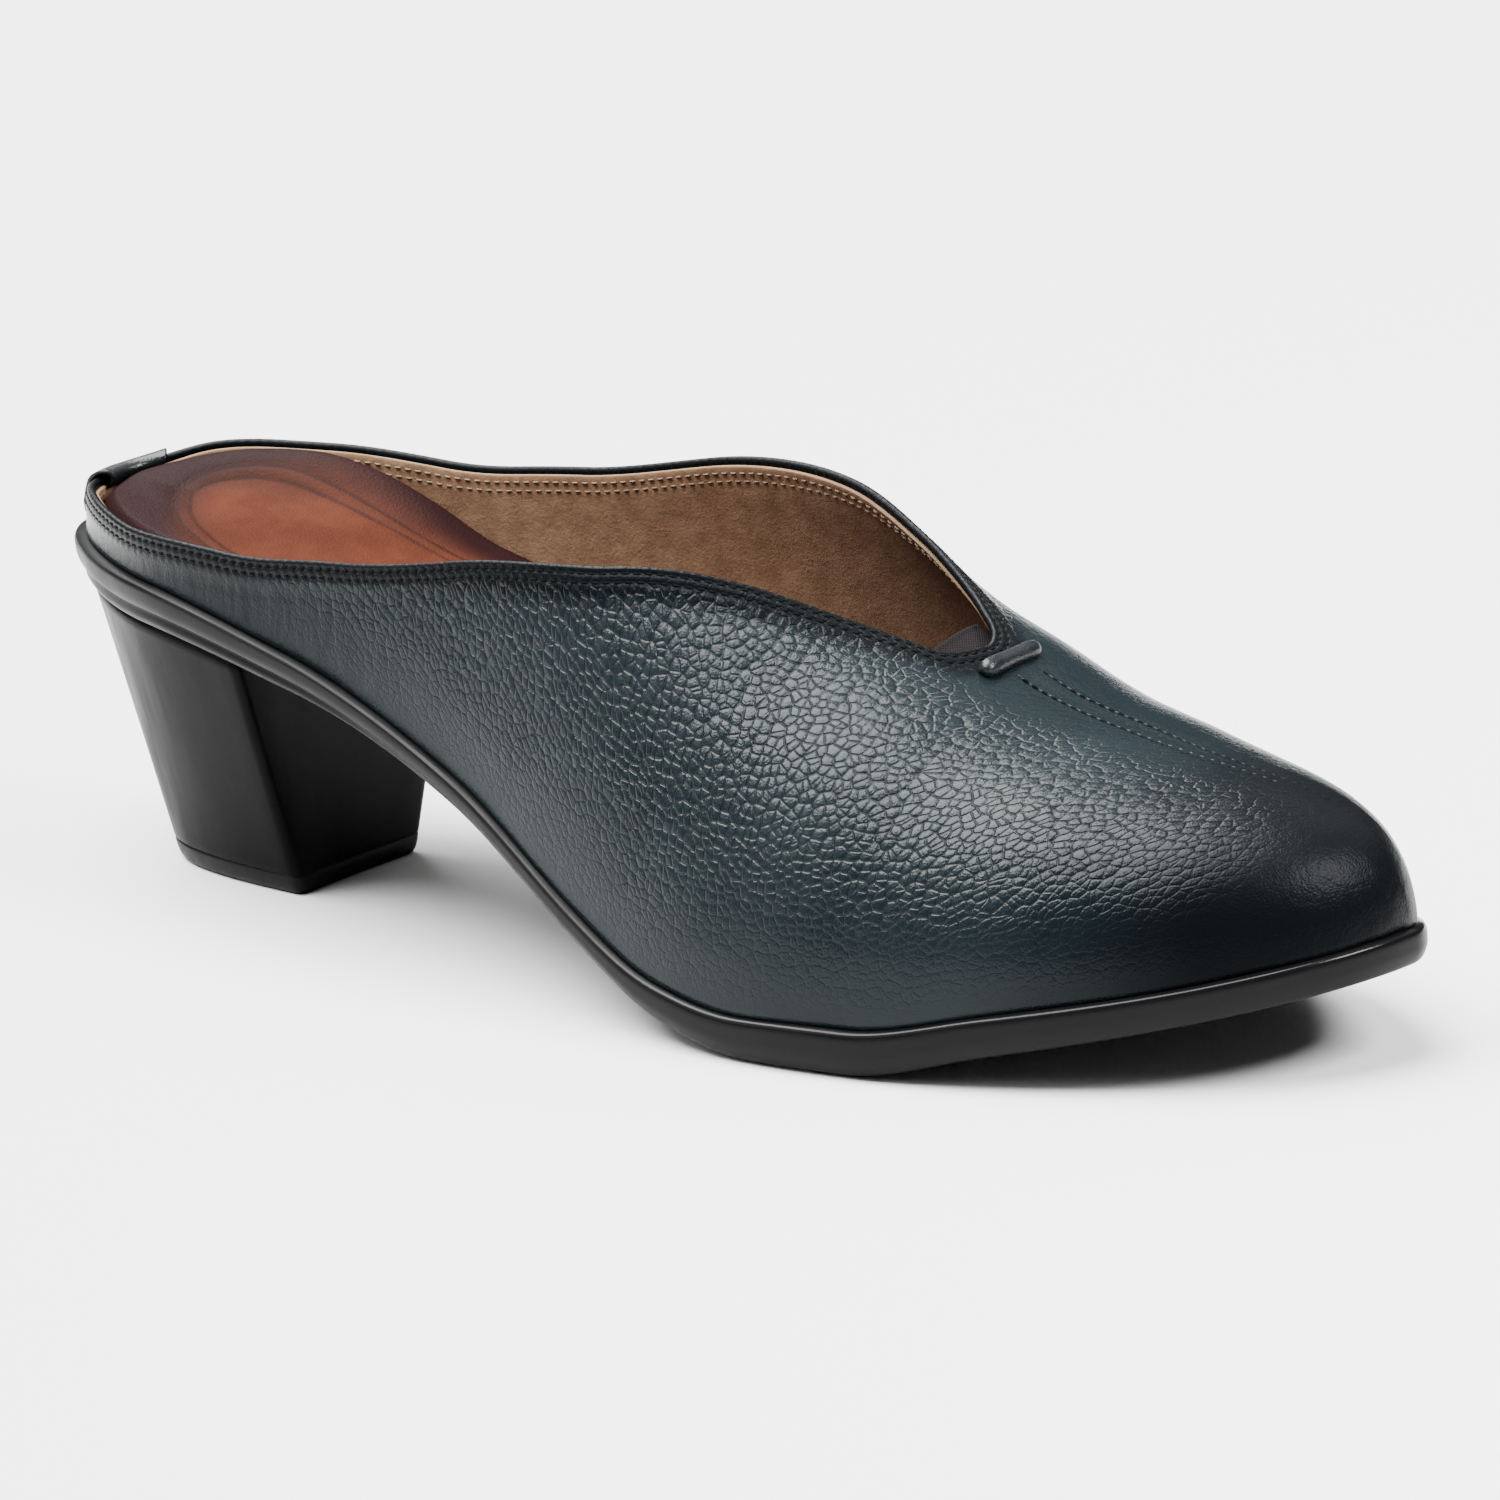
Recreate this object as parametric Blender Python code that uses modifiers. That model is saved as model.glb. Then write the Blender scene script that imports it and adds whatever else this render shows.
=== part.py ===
"""Block heel mule, right shoe, as separate closed pieces.

The shoe is worked out from a last: a table of sections from the heel back to the toe tip.
While it is built, X runs from heel to toe, -Y is the outer (lateral) side and +Z is up.
At the end the shoe is set with the middle of its base on the world origin.
"""
import math

import bmesh
import bpy
import numpy as np
from mathutils import Vector

# Driving sizes in metres
LENGTH = 0.250            # feather line of the upper, heel back to toe tip
BALL_WIDTH = 0.0840       # feather line across the ball
INSTEP = 0.075            # height of the full last above its feather line
TOE_SWING = 0.0170        # furthest drift of the ridge towards the inner side
SEAT_HEIGHT = 0.0446      # underside of the sole at the heel back
TOE_SPRING = 0.0146       # underside of the sole at the toe tip
SOLE_EDGE = 0.0080        # thickness of the sole at its rim
WELT = 0.0018             # how far the rim stands out beside the upper
BACK_CURVE = 34.0         # the heel back comes forward by this times the rise squared, per metre
BACK_REACH = 0.0300       # heel back to where that has died out
THROAT_ROUND = 0.0018     # closest sections behind the throat, for its rounded bottom
THROAT = 0.1745           # heel back to the bottom of the V
WALL = 0.0020             # leather and lining together
FOLD_BAND = 0.0034        # width of the folded edge round the collar
FOLD_STEP = 0.0005        # how far the folded edge stands proud
INSOLE_PAD = 0.0062       # sock and its padding at the heel
GAP = 0.0003              # clearance between touching pieces
INSOLE_CLEAR = 0.0004     # further clearance between insole edge and lining

HEEL_BREAST = 0.0506      # heel back to the breast of the heel
HEEL_BASE_BACK = 0.0170   # heel back to the rear of the heel's base
HEEL_BASE_HALF = 0.0137   # half width of the heel's base
HEEL_INSET = 0.0006       # top of the heel inside the feather line
HEEL_CORNER = 0.0018      # rounding of the two breast corners
TOP_PIECE = 0.0062        # thickness of the rubber top piece
TOP_PIECE_EDGE = 0.0008   # chamfer round its lower edge

BAR_SETBACK = 0.0040      # throat to the middle of the bar
BAR_LENGTH = 0.0118
BAR_WIDTH = 0.0034
BAR_RISE = 0.0018
BAR_SKEW = -0.0017        # run of the bar from its outer to its inner end

GUSSET_DEPTH = 0.0062     # throat to the free edge of the elastic
GUSSET_TUCK = 0.0090      # hidden length ahead of the throat
GUSSET_HALF = 0.0090      # half width under the leather
GUSSET_SHEET = 0.0011
GUSSET_CLEAR = 0.0007     # further clearance under the faceted lining

TAB_WIDTH = 0.0126        # round the heel back
TAB_SHIFT = 0.0020        # its middle lies this much to the inner side
TAB_SHEET = 0.0008
TAB_OUTER = 0.0058        # flap outside, below the collar
TAB_INNER = 0.0014        # flap inside, below the collar

# Sections of the last: share of LENGTH, ridge drift as a share of TOE_SWING,
# outer and inner half widths as shares of BALL_WIDTH, ridge height as a share of INSTEP,
# and the roundness of the section (2 is an ellipse, more is boxier)
LAST_COLUMNS = ("along", "drift", "outer", "inner", "ridge", "round")
LAST = (
    (0.00, 0.00, 0.000, 0.000, 1.000, 2.30),
    (0.04, 0.00, 0.170, 0.166, 0.974, 2.33),
    (0.12, 0.00, 0.286, 0.263, 0.970, 2.28),
    (0.25, 0.10, 0.341, 0.324, 0.984, 2.14),
    (0.40, 0.30, 0.418, 0.374, 0.985, 2.06),
    (0.52, 0.45, 0.518, 0.412, 0.935, 2.12),
    (0.62, 0.54, 0.575, 0.422, 0.757, 2.30),
    (0.72, 0.64, 0.568, 0.391, 0.588, 2.52),
    (0.82, 0.79, 0.512, 0.334, 0.434, 2.46),
    (0.91, 0.93, 0.399, 0.236, 0.321, 2.32),
    (0.97, 0.98, 0.248, 0.118, 0.209, 2.16),
    (1.00, 1.00, 0.000, 0.000, 0.000, 2.05),
)

# Side view of the sole: heel lift as a share of SEAT_HEIGHT, toe lift as a share of
# TOE_SPRING, edge thickness as a share of SOLE_EDGE
SIDE_COLUMNS = ("along", "heel_lift", "toe_lift", "edge")
SIDE = (
    (0.00, 0.990, 0.000, 0.91),
    (0.05, 1.000, 0.000, 0.91),
    (0.12, 0.992, 0.000, 0.89),
    (0.25, 0.880, 0.000, 0.78),
    (0.40, 0.604, 0.000, 0.67),
    (0.52, 0.256, 0.000, 0.65),
    (0.59, 0.076, 0.000, 0.79),
    (0.66, 0.000, 0.000, 0.95),
    (0.73, 0.000, 0.000, 1.00),
    (0.82, 0.000, 0.330, 0.91),
    (0.91, 0.000, 0.650, 0.85),
    (1.00, 0.000, 1.000, 0.81),
)

# Collar line: share of THROAT, then how far up the section it lies on each side,
# from 0 at the feather line to 1 at the ridge
COLLAR_COLUMNS = ("along", "outer", "inner")
COLLAR = (
    (0.000, 0.043, 0.043),
    (0.057, 0.048, 0.061),
    (0.143, 0.048, 0.068),
    (0.286, 0.080, 0.094),
    (0.429, 0.160, 0.171),
    (0.571, 0.290, 0.307),
    (0.714, 0.460, 0.480),
    (0.857, 0.748, 0.700),
    (0.932, 0.870, 0.838),
    (0.963, 0.905, 0.905),
    (0.980, 0.921, 0.938),
    (0.990, 0.935, 0.963),
    (0.996, 0.963, 0.984),
    (1.000, 1.000, 1.000),
)

# Rim of the sole from its top lip to its underside: distance out as a share of WELT and
# height as a share of the edge thickness, at the heel and along the forepart
RIM_COLUMNS = ("heel_out", "heel_up", "fore_out", "fore_up")
RIM = (
    (0.94, 1.00, 0.50, 1.00),
    (1.10, 0.90, 0.66, 0.93),
    (1.02, 0.68, 0.74, 0.72),
    (0.72, 0.46, 0.70, 0.48),
    (0.16, 0.34, 0.46, 0.25),
    (0.26, 0.16, 0.02, 0.08),
    (-0.04, 0.00, -1.10, 0.00),
)
RIM_CHANGE = (0.22, 0.50)     # shares of LENGTH over which the heel rim turns into the fore rim

# Thickness of the insole at its outer edge, middle and inner edge as shares of INSOLE_PAD
INSOLE_COLUMNS = ("along", "outer", "middle", "inner")
INSOLE = (
    (0.00, 1.00, 0.98, 1.00),
    (0.08, 1.00, 0.94, 1.42),
    (0.20, 1.05, 0.96, 1.56),
    (0.32, 0.90, 0.80, 1.02),
    (0.45, 0.62, 0.58, 0.50),
    (0.70, 0.42, 0.40, 0.40),
    (1.00, 0.32, 0.32, 0.32),
)
# Its rounded edge: distance in as a share of INSOLE_PAD and height as a share of thickness
INSOLE_EDGE = ((0.00, 0.00), (0.00, 0.62), (0.10, 0.88), (0.34, 1.00))
INSOLE_BOWL = 0.0110          # rounded edge to the level middle
INSOLE_BOWL_SHARE = 0.34      # the same as a share of the half width, where that is less

REAR_STATIONS = 34
FRONT_STATIONS = 20
SECTION_ROWS = 9
HEEL_STATIONS = 12
STEP_RUN = 0.0004             # girth over which the folded edge rises
SMALL_ANGLE = 0.0005


def column(table, names, name):
    return np.array([row[names.index(name)] for row in table])


def smooth_curve(knots, values):
    """Natural cubic spline through the rows of a table."""
    knots = np.asarray(knots, float)
    values = np.asarray(values, float)
    count = len(knots)
    step = np.diff(knots)
    system = np.eye(count)
    target = np.zeros(count)
    for i in range(1, count - 1):
        system[i, i - 1:i + 2] = step[i - 1], 2 * (step[i - 1] + step[i]), step[i]
        target[i] = 6 * ((values[i + 1] - values[i]) / step[i] - (values[i] - values[i - 1]) / step[i - 1])
    bend = np.linalg.solve(system, target)

    def curve(x):
        x = np.clip(np.asarray(x, float), knots[0], knots[-1])
        i = np.clip(np.searchsorted(knots, x, side="right") - 1, 0, count - 2)
        h = step[i]
        a = (knots[i + 1] - x) / h
        b = 1 - a
        lift = ((a ** 3 - a) * bend[i] + (b ** 3 - b) * bend[i + 1]) * h ** 2 / 6
        return a * values[i] + b * values[i + 1] + lift
    return curve


def level_curve(knots, values):
    """Cubic through the rows of a table that never passes beyond two neighbouring rows."""
    knots = np.asarray(knots, float)
    values = np.asarray(values, float)
    step = np.diff(knots)
    slope = np.diff(values) / step
    tangent = np.zeros(len(knots))
    for i in range(1, len(knots) - 1):
        if slope[i - 1] * slope[i] > 0:
            first = 2 * step[i] + step[i - 1]
            second = step[i] + 2 * step[i - 1]
            tangent[i] = (first + second) / (first / slope[i - 1] + second / slope[i])
    tangent[0] = slope[0]
    tangent[-1] = slope[-1]

    def curve(x):
        x = np.clip(np.asarray(x, float), knots[0], knots[-1])
        i = np.clip(np.searchsorted(knots, x, side="right") - 1, 0, len(step) - 1)
        h = step[i]
        t = (x - knots[i]) / h
        start = values[i] * (2 * t ** 3 - 3 * t ** 2 + 1) + tangent[i] * h * (t ** 3 - 2 * t ** 2 + t)
        end = values[i + 1] * (3 * t ** 2 - 2 * t ** 3) + tangent[i + 1] * h * (t ** 3 - t ** 2)
        return start + end
    return curve


def turn_of(along):
    """Angle of a place along the last: 0 at the heel back, pi at the toe tip."""
    return np.arccos(np.clip(1 - 2 * np.asarray(along, float), -1, 1))


def along_of(turn):
    return (1 - np.cos(turn)) / 2


along_rows = column(LAST, LAST_COLUMNS, "along")
drift_at = smooth_curve(along_rows, TOE_SWING * column(LAST, LAST_COLUMNS, "drift"))
outer_at = smooth_curve(turn_of(along_rows), BALL_WIDTH * column(LAST, LAST_COLUMNS, "outer"))
inner_at = smooth_curve(turn_of(along_rows), BALL_WIDTH * column(LAST, LAST_COLUMNS, "inner"))
ridge_at = smooth_curve(turn_of(along_rows), INSTEP * column(LAST, LAST_COLUMNS, "ridge"))
round_at = smooth_curve(along_rows, column(LAST, LAST_COLUMNS, "round"))

side_rows = column(SIDE, SIDE_COLUMNS, "along")
heel_lift_at = level_curve(side_rows, SEAT_HEIGHT * column(SIDE, SIDE_COLUMNS, "heel_lift"))
toe_lift_at = level_curve(side_rows, TOE_SPRING * column(SIDE, SIDE_COLUMNS, "toe_lift"))
edge_at = level_curve(side_rows, SOLE_EDGE * column(SIDE, SIDE_COLUMNS, "edge"))

collar_rows = column(COLLAR, COLLAR_COLUMNS, "along") * THROAT / LENGTH
collar_outer_at = level_curve(collar_rows, column(COLLAR, COLLAR_COLUMNS, "outer"))
collar_inner_at = level_curve(collar_rows, column(COLLAR, COLLAR_COLUMNS, "inner"))
insole_rows = column(INSOLE, INSOLE_COLUMNS, "along")
insole_outer_at = level_curve(insole_rows, INSOLE_PAD * column(INSOLE, INSOLE_COLUMNS, "outer"))
insole_middle_at = level_curve(insole_rows, INSOLE_PAD * column(INSOLE, INSOLE_COLUMNS, "middle"))
insole_inner_at = level_curve(insole_rows, INSOLE_PAD * column(INSOLE, INSOLE_COLUMNS, "inner"))

OUTER, INNER = -1, 1
throat_share = THROAT / LENGTH


def half_width(along, side):
    width = outer_at(turn_of(along)) if side == OUTER else inner_at(turn_of(along))
    return np.maximum(width, 0)


def under_height(along):
    return heel_lift_at(along) + toe_lift_at(along)


def feather_height(along):
    return under_height(along) + edge_at(along)


def back_shift(along, rise):
    """How far the skin near the heel back comes forward at a height above the feather line."""
    fade = np.clip(1 - np.asarray(along, float) * LENGTH / BACK_REACH, 0, 1) ** 2
    return BACK_CURVE * rise ** 2 * fade


def last_point(along, up, side):
    """Point of the last; up runs from 0 at the feather line to 1 at the ridge."""
    along = np.asarray(along, float)
    power = 2 / round_at(along)
    angle = np.clip(up, 0, 1) * math.pi / 2
    rise = np.maximum(ridge_at(turn_of(along)), 0) * np.sin(angle) ** power
    x = along * LENGTH + back_shift(along, rise)
    y = drift_at(along) + side * half_width(along, side) * np.cos(angle) ** power
    return np.stack(np.broadcast_arrays(x, y, feather_height(along) + rise), axis=-1)


def collar_up(along, side):
    if along >= throat_share:
        return 1.0
    return float(collar_outer_at(along) if side == OUTER else collar_inner_at(along))


def over_ridge(along, across):
    """Point of the last; across is -1 at the outer feather line, 0 at the ridge, 1 at the inner."""
    side = OUTER if across < 0 else INNER
    return Vector(last_point(along, 1 - abs(across), side))


def across_at(along, distance):
    """Across value of the place a distance beside the ridge, negative on the outer side."""
    width = half_width(along, OUTER if distance < 0 else INNER)
    angle = math.acos(min(abs(distance) / width, 1) ** (round_at(along) / 2))
    return math.copysign(1 - angle / (math.pi / 2), distance)


def skin_frame(along, across):
    """Point of the last with its outward normal."""
    step = 0.002
    ahead = over_ridge(along + step, across) - over_ridge(along - step, across)
    sideways = over_ridge(along, across + step) - over_ridge(along, across - step)
    return over_ridge(along, across), ahead.cross(sideways).normalized()


def outline_point(turn, out):
    """Feather line in plan, moved out by a distance; turn is negative on the outer side."""
    def on_line(angle):
        side = OUTER if angle < 0 else INNER
        along = along_of(abs(angle))
        return np.array((along * LENGTH, drift_at(along) + side * half_width(along, side)))

    if abs(turn) > math.pi - SMALL_ANGLE:
        heading = np.array((0.0, -1.0))
    else:
        heading = on_line(turn + SMALL_ANGLE) - on_line(turn - SMALL_ANGLE)
        heading = heading / np.linalg.norm(heading)
    return on_line(turn) + out * np.array((-heading[1], heading[0]))


def station_turns():
    """Turns of all sections, with one at the throat and two at the folded edge ahead of it."""
    throat_turn = turn_of(throat_share)
    fold_turns = [turn_of(throat_share + run / LENGTH) for run in (FOLD_BAND, FOLD_BAND + STEP_RUN)]
    round_turns = [turn_of(throat_share - share * THROAT_ROUND / LENGTH) for share in (3.4, 1.9, 1, 0.4)]
    rear = [*np.linspace(0, round_turns[0], REAR_STATIONS), *round_turns[1:], throat_turn]
    front = np.linspace(fold_turns[-1], math.pi, FRONT_STATIONS + 1)
    return [*rear, fold_turns[0], *front]


def new_mesh_object(name, bm, material, collection):
    bmesh.ops.remove_doubles(bm, verts=bm.verts, dist=1e-7)
    bmesh.ops.dissolve_degenerate(bm, edges=bm.edges, dist=1e-7)
    bmesh.ops.recalc_face_normals(bm, faces=bm.faces)
    mesh = bpy.data.meshes.new(name)
    bm.to_mesh(mesh)
    bm.free()
    mesh.materials.append(material)
    mesh.shade_smooth()
    mesh.set_sharp_from_angle(angle=math.radians(35))
    obj = bpy.data.objects.new(name, mesh)
    collection.objects.link(obj)
    return obj


def plain_material(name, color, roughness):
    material = bpy.data.materials.new(name)
    material.use_nodes = True
    shader = material.node_tree.nodes["Principled BSDF"]
    shader.inputs["Base Color"].default_value = (*color, 1)
    shader.inputs["Roughness"].default_value = roughness
    return material


def strip_faces(bm, first, second):
    for a, b, c, d in zip(first, first[1:], second[1:], second):
        bm.faces.new((a, b, c, d))


def loft(bm, rings, closed=True):
    """Join rings of points one after another, then close the first and the last."""
    rows = [[bm.verts.new(point) for point in ring] for ring in rings]
    for first, second in zip(rows, rows[1:]):
        if closed:
            strip_faces(bm, first + first[:1], second + second[:1])
        else:
            strip_faces(bm, first, second)
    return rows


def ladder(bm, row):
    """Fill a ring whose points pair up across it, from both ends to the middle."""
    half = len(row) // 2
    near, far = row[:half], row[::-1][:half]
    strip_faces(bm, near, far)
    if len(row) % 2:
        bm.faces.new((near[-1], row[half], far[-1]))


def section_ups(along, side):
    """Rows up one side of a section: the folded edge first, the rest evenly by girth."""
    top = collar_up(along, side)
    fine = np.linspace(0, top, 60)
    points = last_point(along, fine, side)
    girth = np.concatenate(([0], np.cumsum(np.linalg.norm(np.diff(points, axis=0), axis=1))))
    band = min(FOLD_BAND, 0.4 * girth[-1])
    run = min(STEP_RUN, 0.1 * girth[-1])
    wanted = [*np.linspace(0, girth[-1] - band - run, SECTION_ROWS - 1), girth[-1] - band, girth[-1]]
    return np.interp(wanted, girth, fine)


def collar_line():
    """Points of the collar from its outer side of the throat round the heel to the inner side."""
    turns = np.linspace(0, turn_of(throat_share), 80)
    sides = []
    for side in (OUTER, INNER):
        ups = [collar_up(along, side) for along in along_of(turns)]
        sides.append(last_point(along_of(turns), np.array(ups), side))
    return np.concatenate((sides[0][::-1], sides[1]))


def distance_to_line(point, line):
    start, run = line[:-1], np.diff(line, axis=0)
    share = ((point - start) * run).sum(axis=1) / np.maximum((run ** 2).sum(axis=1), 1e-12)
    nearest = start + np.clip(share, 0, 1)[:, None] * run
    return float(np.linalg.norm(point - nearest, axis=1).min())


def make_upper(material, collection):
    """Hollow shell from the feather line to the collar, with the folded edge as a step."""
    skin = bmesh.new()
    turns = station_turns()
    sides = []
    for side in (OUTER, INNER):
        grid = []
        for turn in turns:
            along = float(along_of(turn))
            points = last_point(along, section_ups(along, side), side)
            grid.append([skin.verts.new(point) for point in points])
        sides.append(grid)
    for side, grid in zip((OUTER, INNER), sides):
        for first, second in zip(grid, grid[1:]):
            strip_faces(skin, *((first, second) if side == OUTER else (second, first)))
    bmesh.ops.remove_doubles(skin, verts=skin.verts, dist=1e-6)
    bmesh.ops.recalc_face_normals(skin, faces=skin.faces)
    skin.normal_update()
    middle = Vector((LENGTH / 2, 0, SEAT_HEIGHT))
    probe = max(skin.faces, key=lambda face: face.calc_center_median().y)
    if probe.normal.dot(probe.calc_center_median() - middle) < 0:
        bmesh.ops.reverse_faces(skin, faces=skin.faces)
        skin.normal_update()

    line = collar_line()
    bm = bmesh.new()
    outside, inside = {}, {}
    for vert in skin.verts:
        away = distance_to_line(np.array(vert.co), line)
        proud = FOLD_STEP if away < FOLD_BAND + 0.3 * STEP_RUN else 0.0
        inward = -vert.normal
        if vert.is_boundary and away > FOLD_BAND:
            inward = Vector((inward.x, inward.y, 0)).normalized()
        outside[vert] = bm.verts.new(vert.co + proud * vert.normal)
        inside[vert] = bm.verts.new(vert.co + WALL * inward)
    for face in skin.faces:
        bm.faces.new([outside[vert] for vert in face.verts])
        bm.faces.new([inside[vert] for vert in reversed(face.verts)])
    for edge in skin.edges:
        if edge.is_boundary:
            a, b = edge.verts
            bm.faces.new((outside[a], outside[b], inside[b], inside[a]))
    skin.free()
    return new_mesh_object("upper", bm, material, collection)


def paired_solid(name, rings, material, collection):
    """Closed solid from cross rings whose points come together at both ends."""
    bm = bmesh.new()
    loft(bm, rings)
    return new_mesh_object(name, bm, material, collection)


def leaning_point(turn, out, rise):
    """Point off the feather line and above it, leaning forward as the heel back does."""
    along = along_of(abs(turn))
    x, y = outline_point(turn, out)
    return (float(x + back_shift(along, rise)), float(y), float(feather_height(along) + rise))


def rim_profile(along):
    """Rim of the sole at a place along it, as distances out and heights."""
    share = np.clip((along - RIM_CHANGE[0]) / (RIM_CHANGE[1] - RIM_CHANGE[0]), 0, 1)
    share = share * share * (3 - 2 * share)
    outs, ups = ((1 - share) * column(RIM, RIM_COLUMNS, "heel_" + name)
                 + share * column(RIM, RIM_COLUMNS, "fore_" + name) for name in ("out", "up"))
    low, high = under_height(along), feather_height(along) - GAP
    return outs * WELT, low + ups * (high - low)


def make_outsole(material, collection):
    """Unit sole: flat seat, arch, ball and toe spring in one, with its moulded rim."""
    rings = []
    for turn in station_turns():
        profile = list(zip(*rim_profile(along_of(turn))))
        outer = [(*outline_point(-turn, out), z) for out, z in profile]
        inner = [(*outline_point(turn, out), z) for out, z in profile]
        rings.append(outer + inner[::-1])
    return paired_solid("outsole", rings, material, collection)


def make_insole(material, collection):
    """Padded sock inside the upper, its inner edge raised at the heel to cup the foot."""
    inset = WALL + GAP + INSOLE_CLEAR
    lip = inset + INSOLE_EDGE[-1][0] * INSOLE_PAD
    rings = []
    for turn in station_turns():
        along = along_of(turn)
        bowl = min(INSOLE_BOWL, INSOLE_BOWL_SHARE * half_width(along, INNER))
        sides = []
        for angle, thick_at in ((-turn, insole_outer_at), (turn, insole_inner_at)):
            rises = [(-inset - run * INSOLE_PAD, rise * thick_at(along)) for run, rise in INSOLE_EDGE]
            rises.append((-lip - bowl, insole_middle_at(along)))
            sides.append([leaning_point(angle, out, rise) for out, rise in rises])
        rings.append(sides[0][::-1] + sides[1])
    return paired_solid("insole", rings, material, collection)


def heel_rings():
    """Rings of the heel at its seat under the sole and at the floor, point for point."""
    seat, base = [], []
    for side in (OUTER, INNER):
        turns = np.linspace(0, turn_of(HEEL_BREAST / LENGTH), HEEL_STATIONS + 1)
        seat_side, base_side = [], []
        for turn in turns:
            along = along_of(turn)
            x, y = outline_point(side * turn, -HEEL_INSET)
            seat_side.append((x, y, under_height(along) - GAP))
            share = along * LENGTH / HEEL_BREAST
            half = HEEL_BASE_HALF * (1 - (1 - share) ** 3) ** (1 / 3)
            base_x = HEEL_BASE_BACK + share * (HEEL_BREAST - HEEL_BASE_BACK)
            base_side.append((base_x, side * half, 0.0))
        seat.append(seat_side)
        base.append(base_side)
    return seat[0][::-1] + seat[1][1:], base[0][::-1] + base[1][1:]


def heel_level(seat, base, height):
    """Ring of the tapering heel at one height above the floor."""
    ring = []
    for top, low in zip(seat, base):
        share = height / top[2]
        ring.append(tuple(low[i] + share * (top[i] - low[i]) for i in range(3)))
    return ring


def shrink_ring(ring, distance):
    """Ring drawn in towards its middle by a distance."""
    middle = np.mean(np.array(ring), axis=0)
    drawn = []
    for point in ring:
        spoke = np.array(point) - middle
        length = np.linalg.norm(spoke)
        drawn.append(tuple(middle + spoke * (length - distance) / length))
    return drawn


def heel_solid(name, rings, material, collection):
    """Solid between rings of the heel, its breast corners rounded."""
    bm = bmesh.new()
    rows = loft(bm, rings)
    ladder(bm, rows[0])
    ladder(bm, rows[-1])
    bm.edges.ensure_lookup_table()
    corners = []
    for first, second in zip(rows, rows[1:]):
        for i in (0, -1):
            corners.append(bm.edges.get((first[i], second[i])))
    bmesh.ops.bevel(bm, geom=corners, offset=HEEL_CORNER, segments=3, profile=0.5, affect="EDGES",
                    clamp_overlap=True)
    return new_mesh_object(name, bm, material, collection)


def make_heel_block(material, collection):
    seat, base = heel_rings()
    low = TOP_PIECE + GAP
    rings = [heel_level(seat, base, low)]
    for share in (1 / 3, 2 / 3):
        rings.append([tuple(a[i] + share * (b[i] - a[i]) for i in range(3))
                      for a, b in zip(rings[0], seat)])
    rings.append(seat)
    return heel_solid("heel_block", rings, material, collection)


def make_top_piece(material, collection):
    seat, base = heel_rings()
    rings = [shrink_ring(base, TOP_PIECE_EDGE), heel_level(seat, base, TOP_PIECE_EDGE),
             heel_level(seat, base, TOP_PIECE)]
    return heel_solid("top_piece", rings, material, collection)


def make_gusset(material, collection):
    """Elastic sheet behind the V, following the last under the leather."""
    bm = bmesh.new()
    back = throat_share - GUSSET_DEPTH / LENGTH
    front = throat_share + GUSSET_TUCK / LENGTH
    rows = []
    for along in np.linspace(back, front, 8):
        row = []
        for distance in np.linspace(-GUSSET_HALF, GUSSET_HALF, 11):
            point, normal = skin_frame(along, across_at(along, distance))
            row.append(bm.verts.new(point - (WALL + GAP + GUSSET_CLEAR) * normal))
        rows.append(row)
    for first, second in zip(rows, rows[1:]):
        strip_faces(bm, first, second)
    obj = new_mesh_object("throat_gusset", bm, material, collection)
    sheet = obj.modifiers.new("sheet", "SOLIDIFY")
    sheet.thickness = GUSSET_SHEET
    sheet.offset = -1
    return obj


def make_throat_bar(material, collection):
    """Rolled leather bar across the seam below the V, its ends sinking to the leather."""
    bm = bmesh.new()
    middle = throat_share + BAR_SETBACK / LENGTH
    rings = []
    for step in np.linspace(-1, 1, 9):
        along = middle + step * BAR_SKEW / 2 / LENGTH
        point, normal = skin_frame(along, across_at(along, step * BAR_LENGTH / 2))
        ahead = Vector((1, 0, 0))
        ahead = (ahead - ahead.dot(normal) * normal).normalized()
        full = math.sqrt(1 - 0.86 * step * step)
        ring = []
        for corner in range(10):
            angle = math.pi * corner / 9
            side_step = math.cos(angle) * BAR_WIDTH / 2 * full
            rise = GAP + 0.0002 + math.sin(angle) * BAR_RISE * full
            ring.append(point + ahead * side_step + normal * rise)
        rings.append(ring)
    rows = loft(bm, rings)
    bm.faces.new(rows[0])
    bm.faces.new(rows[-1])
    return new_mesh_object("throat_bar", bm, material, collection)


def make_back_tab(material, collection):
    """Leather strap folded over the collar at the heel back."""
    bm = bmesh.new()
    face = FOLD_STEP + GAP
    lining = -WALL - GAP
    crown = GAP + TAB_SHEET
    shoulder = TAB_SHEET / 2
    profile = (
        (face, -TAB_OUTER), (face + TAB_SHEET, -TAB_OUTER), (face + TAB_SHEET, -TAB_OUTER / 2),
        (face + TAB_SHEET, crown - shoulder), (face + shoulder, crown), (lining - shoulder, crown),
        (lining - TAB_SHEET, crown - shoulder), (lining - TAB_SHEET, -TAB_INNER),
        (lining, -TAB_INNER), (lining, GAP), (face, GAP), (face, -TAB_OUTER / 2),
    )
    reach = turn_of(BACK_REACH / LENGTH)
    turns = np.linspace(-reach, reach, 61)
    widths = np.array([outline_point(turn, 0)[1] for turn in turns])
    ends = np.interp((TAB_SHIFT - TAB_WIDTH / 2, TAB_SHIFT + TAB_WIDTH / 2), widths, turns)
    rings = []
    for turn in np.linspace(*ends, 11):
        side = OUTER if turn < 0 else INNER
        along = float(along_of(abs(turn)))
        edge = last_point(along, collar_up(along, side), side)
        rise = edge[2] - feather_height(along)
        rings.append([leaning_point(turn, out, rise + up) for out, up in profile])
    rows = loft(bm, rings)
    bm.faces.new(rows[0])
    bm.faces.new(rows[-1])
    return new_mesh_object("back_tab", bm, material, collection)


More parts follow.
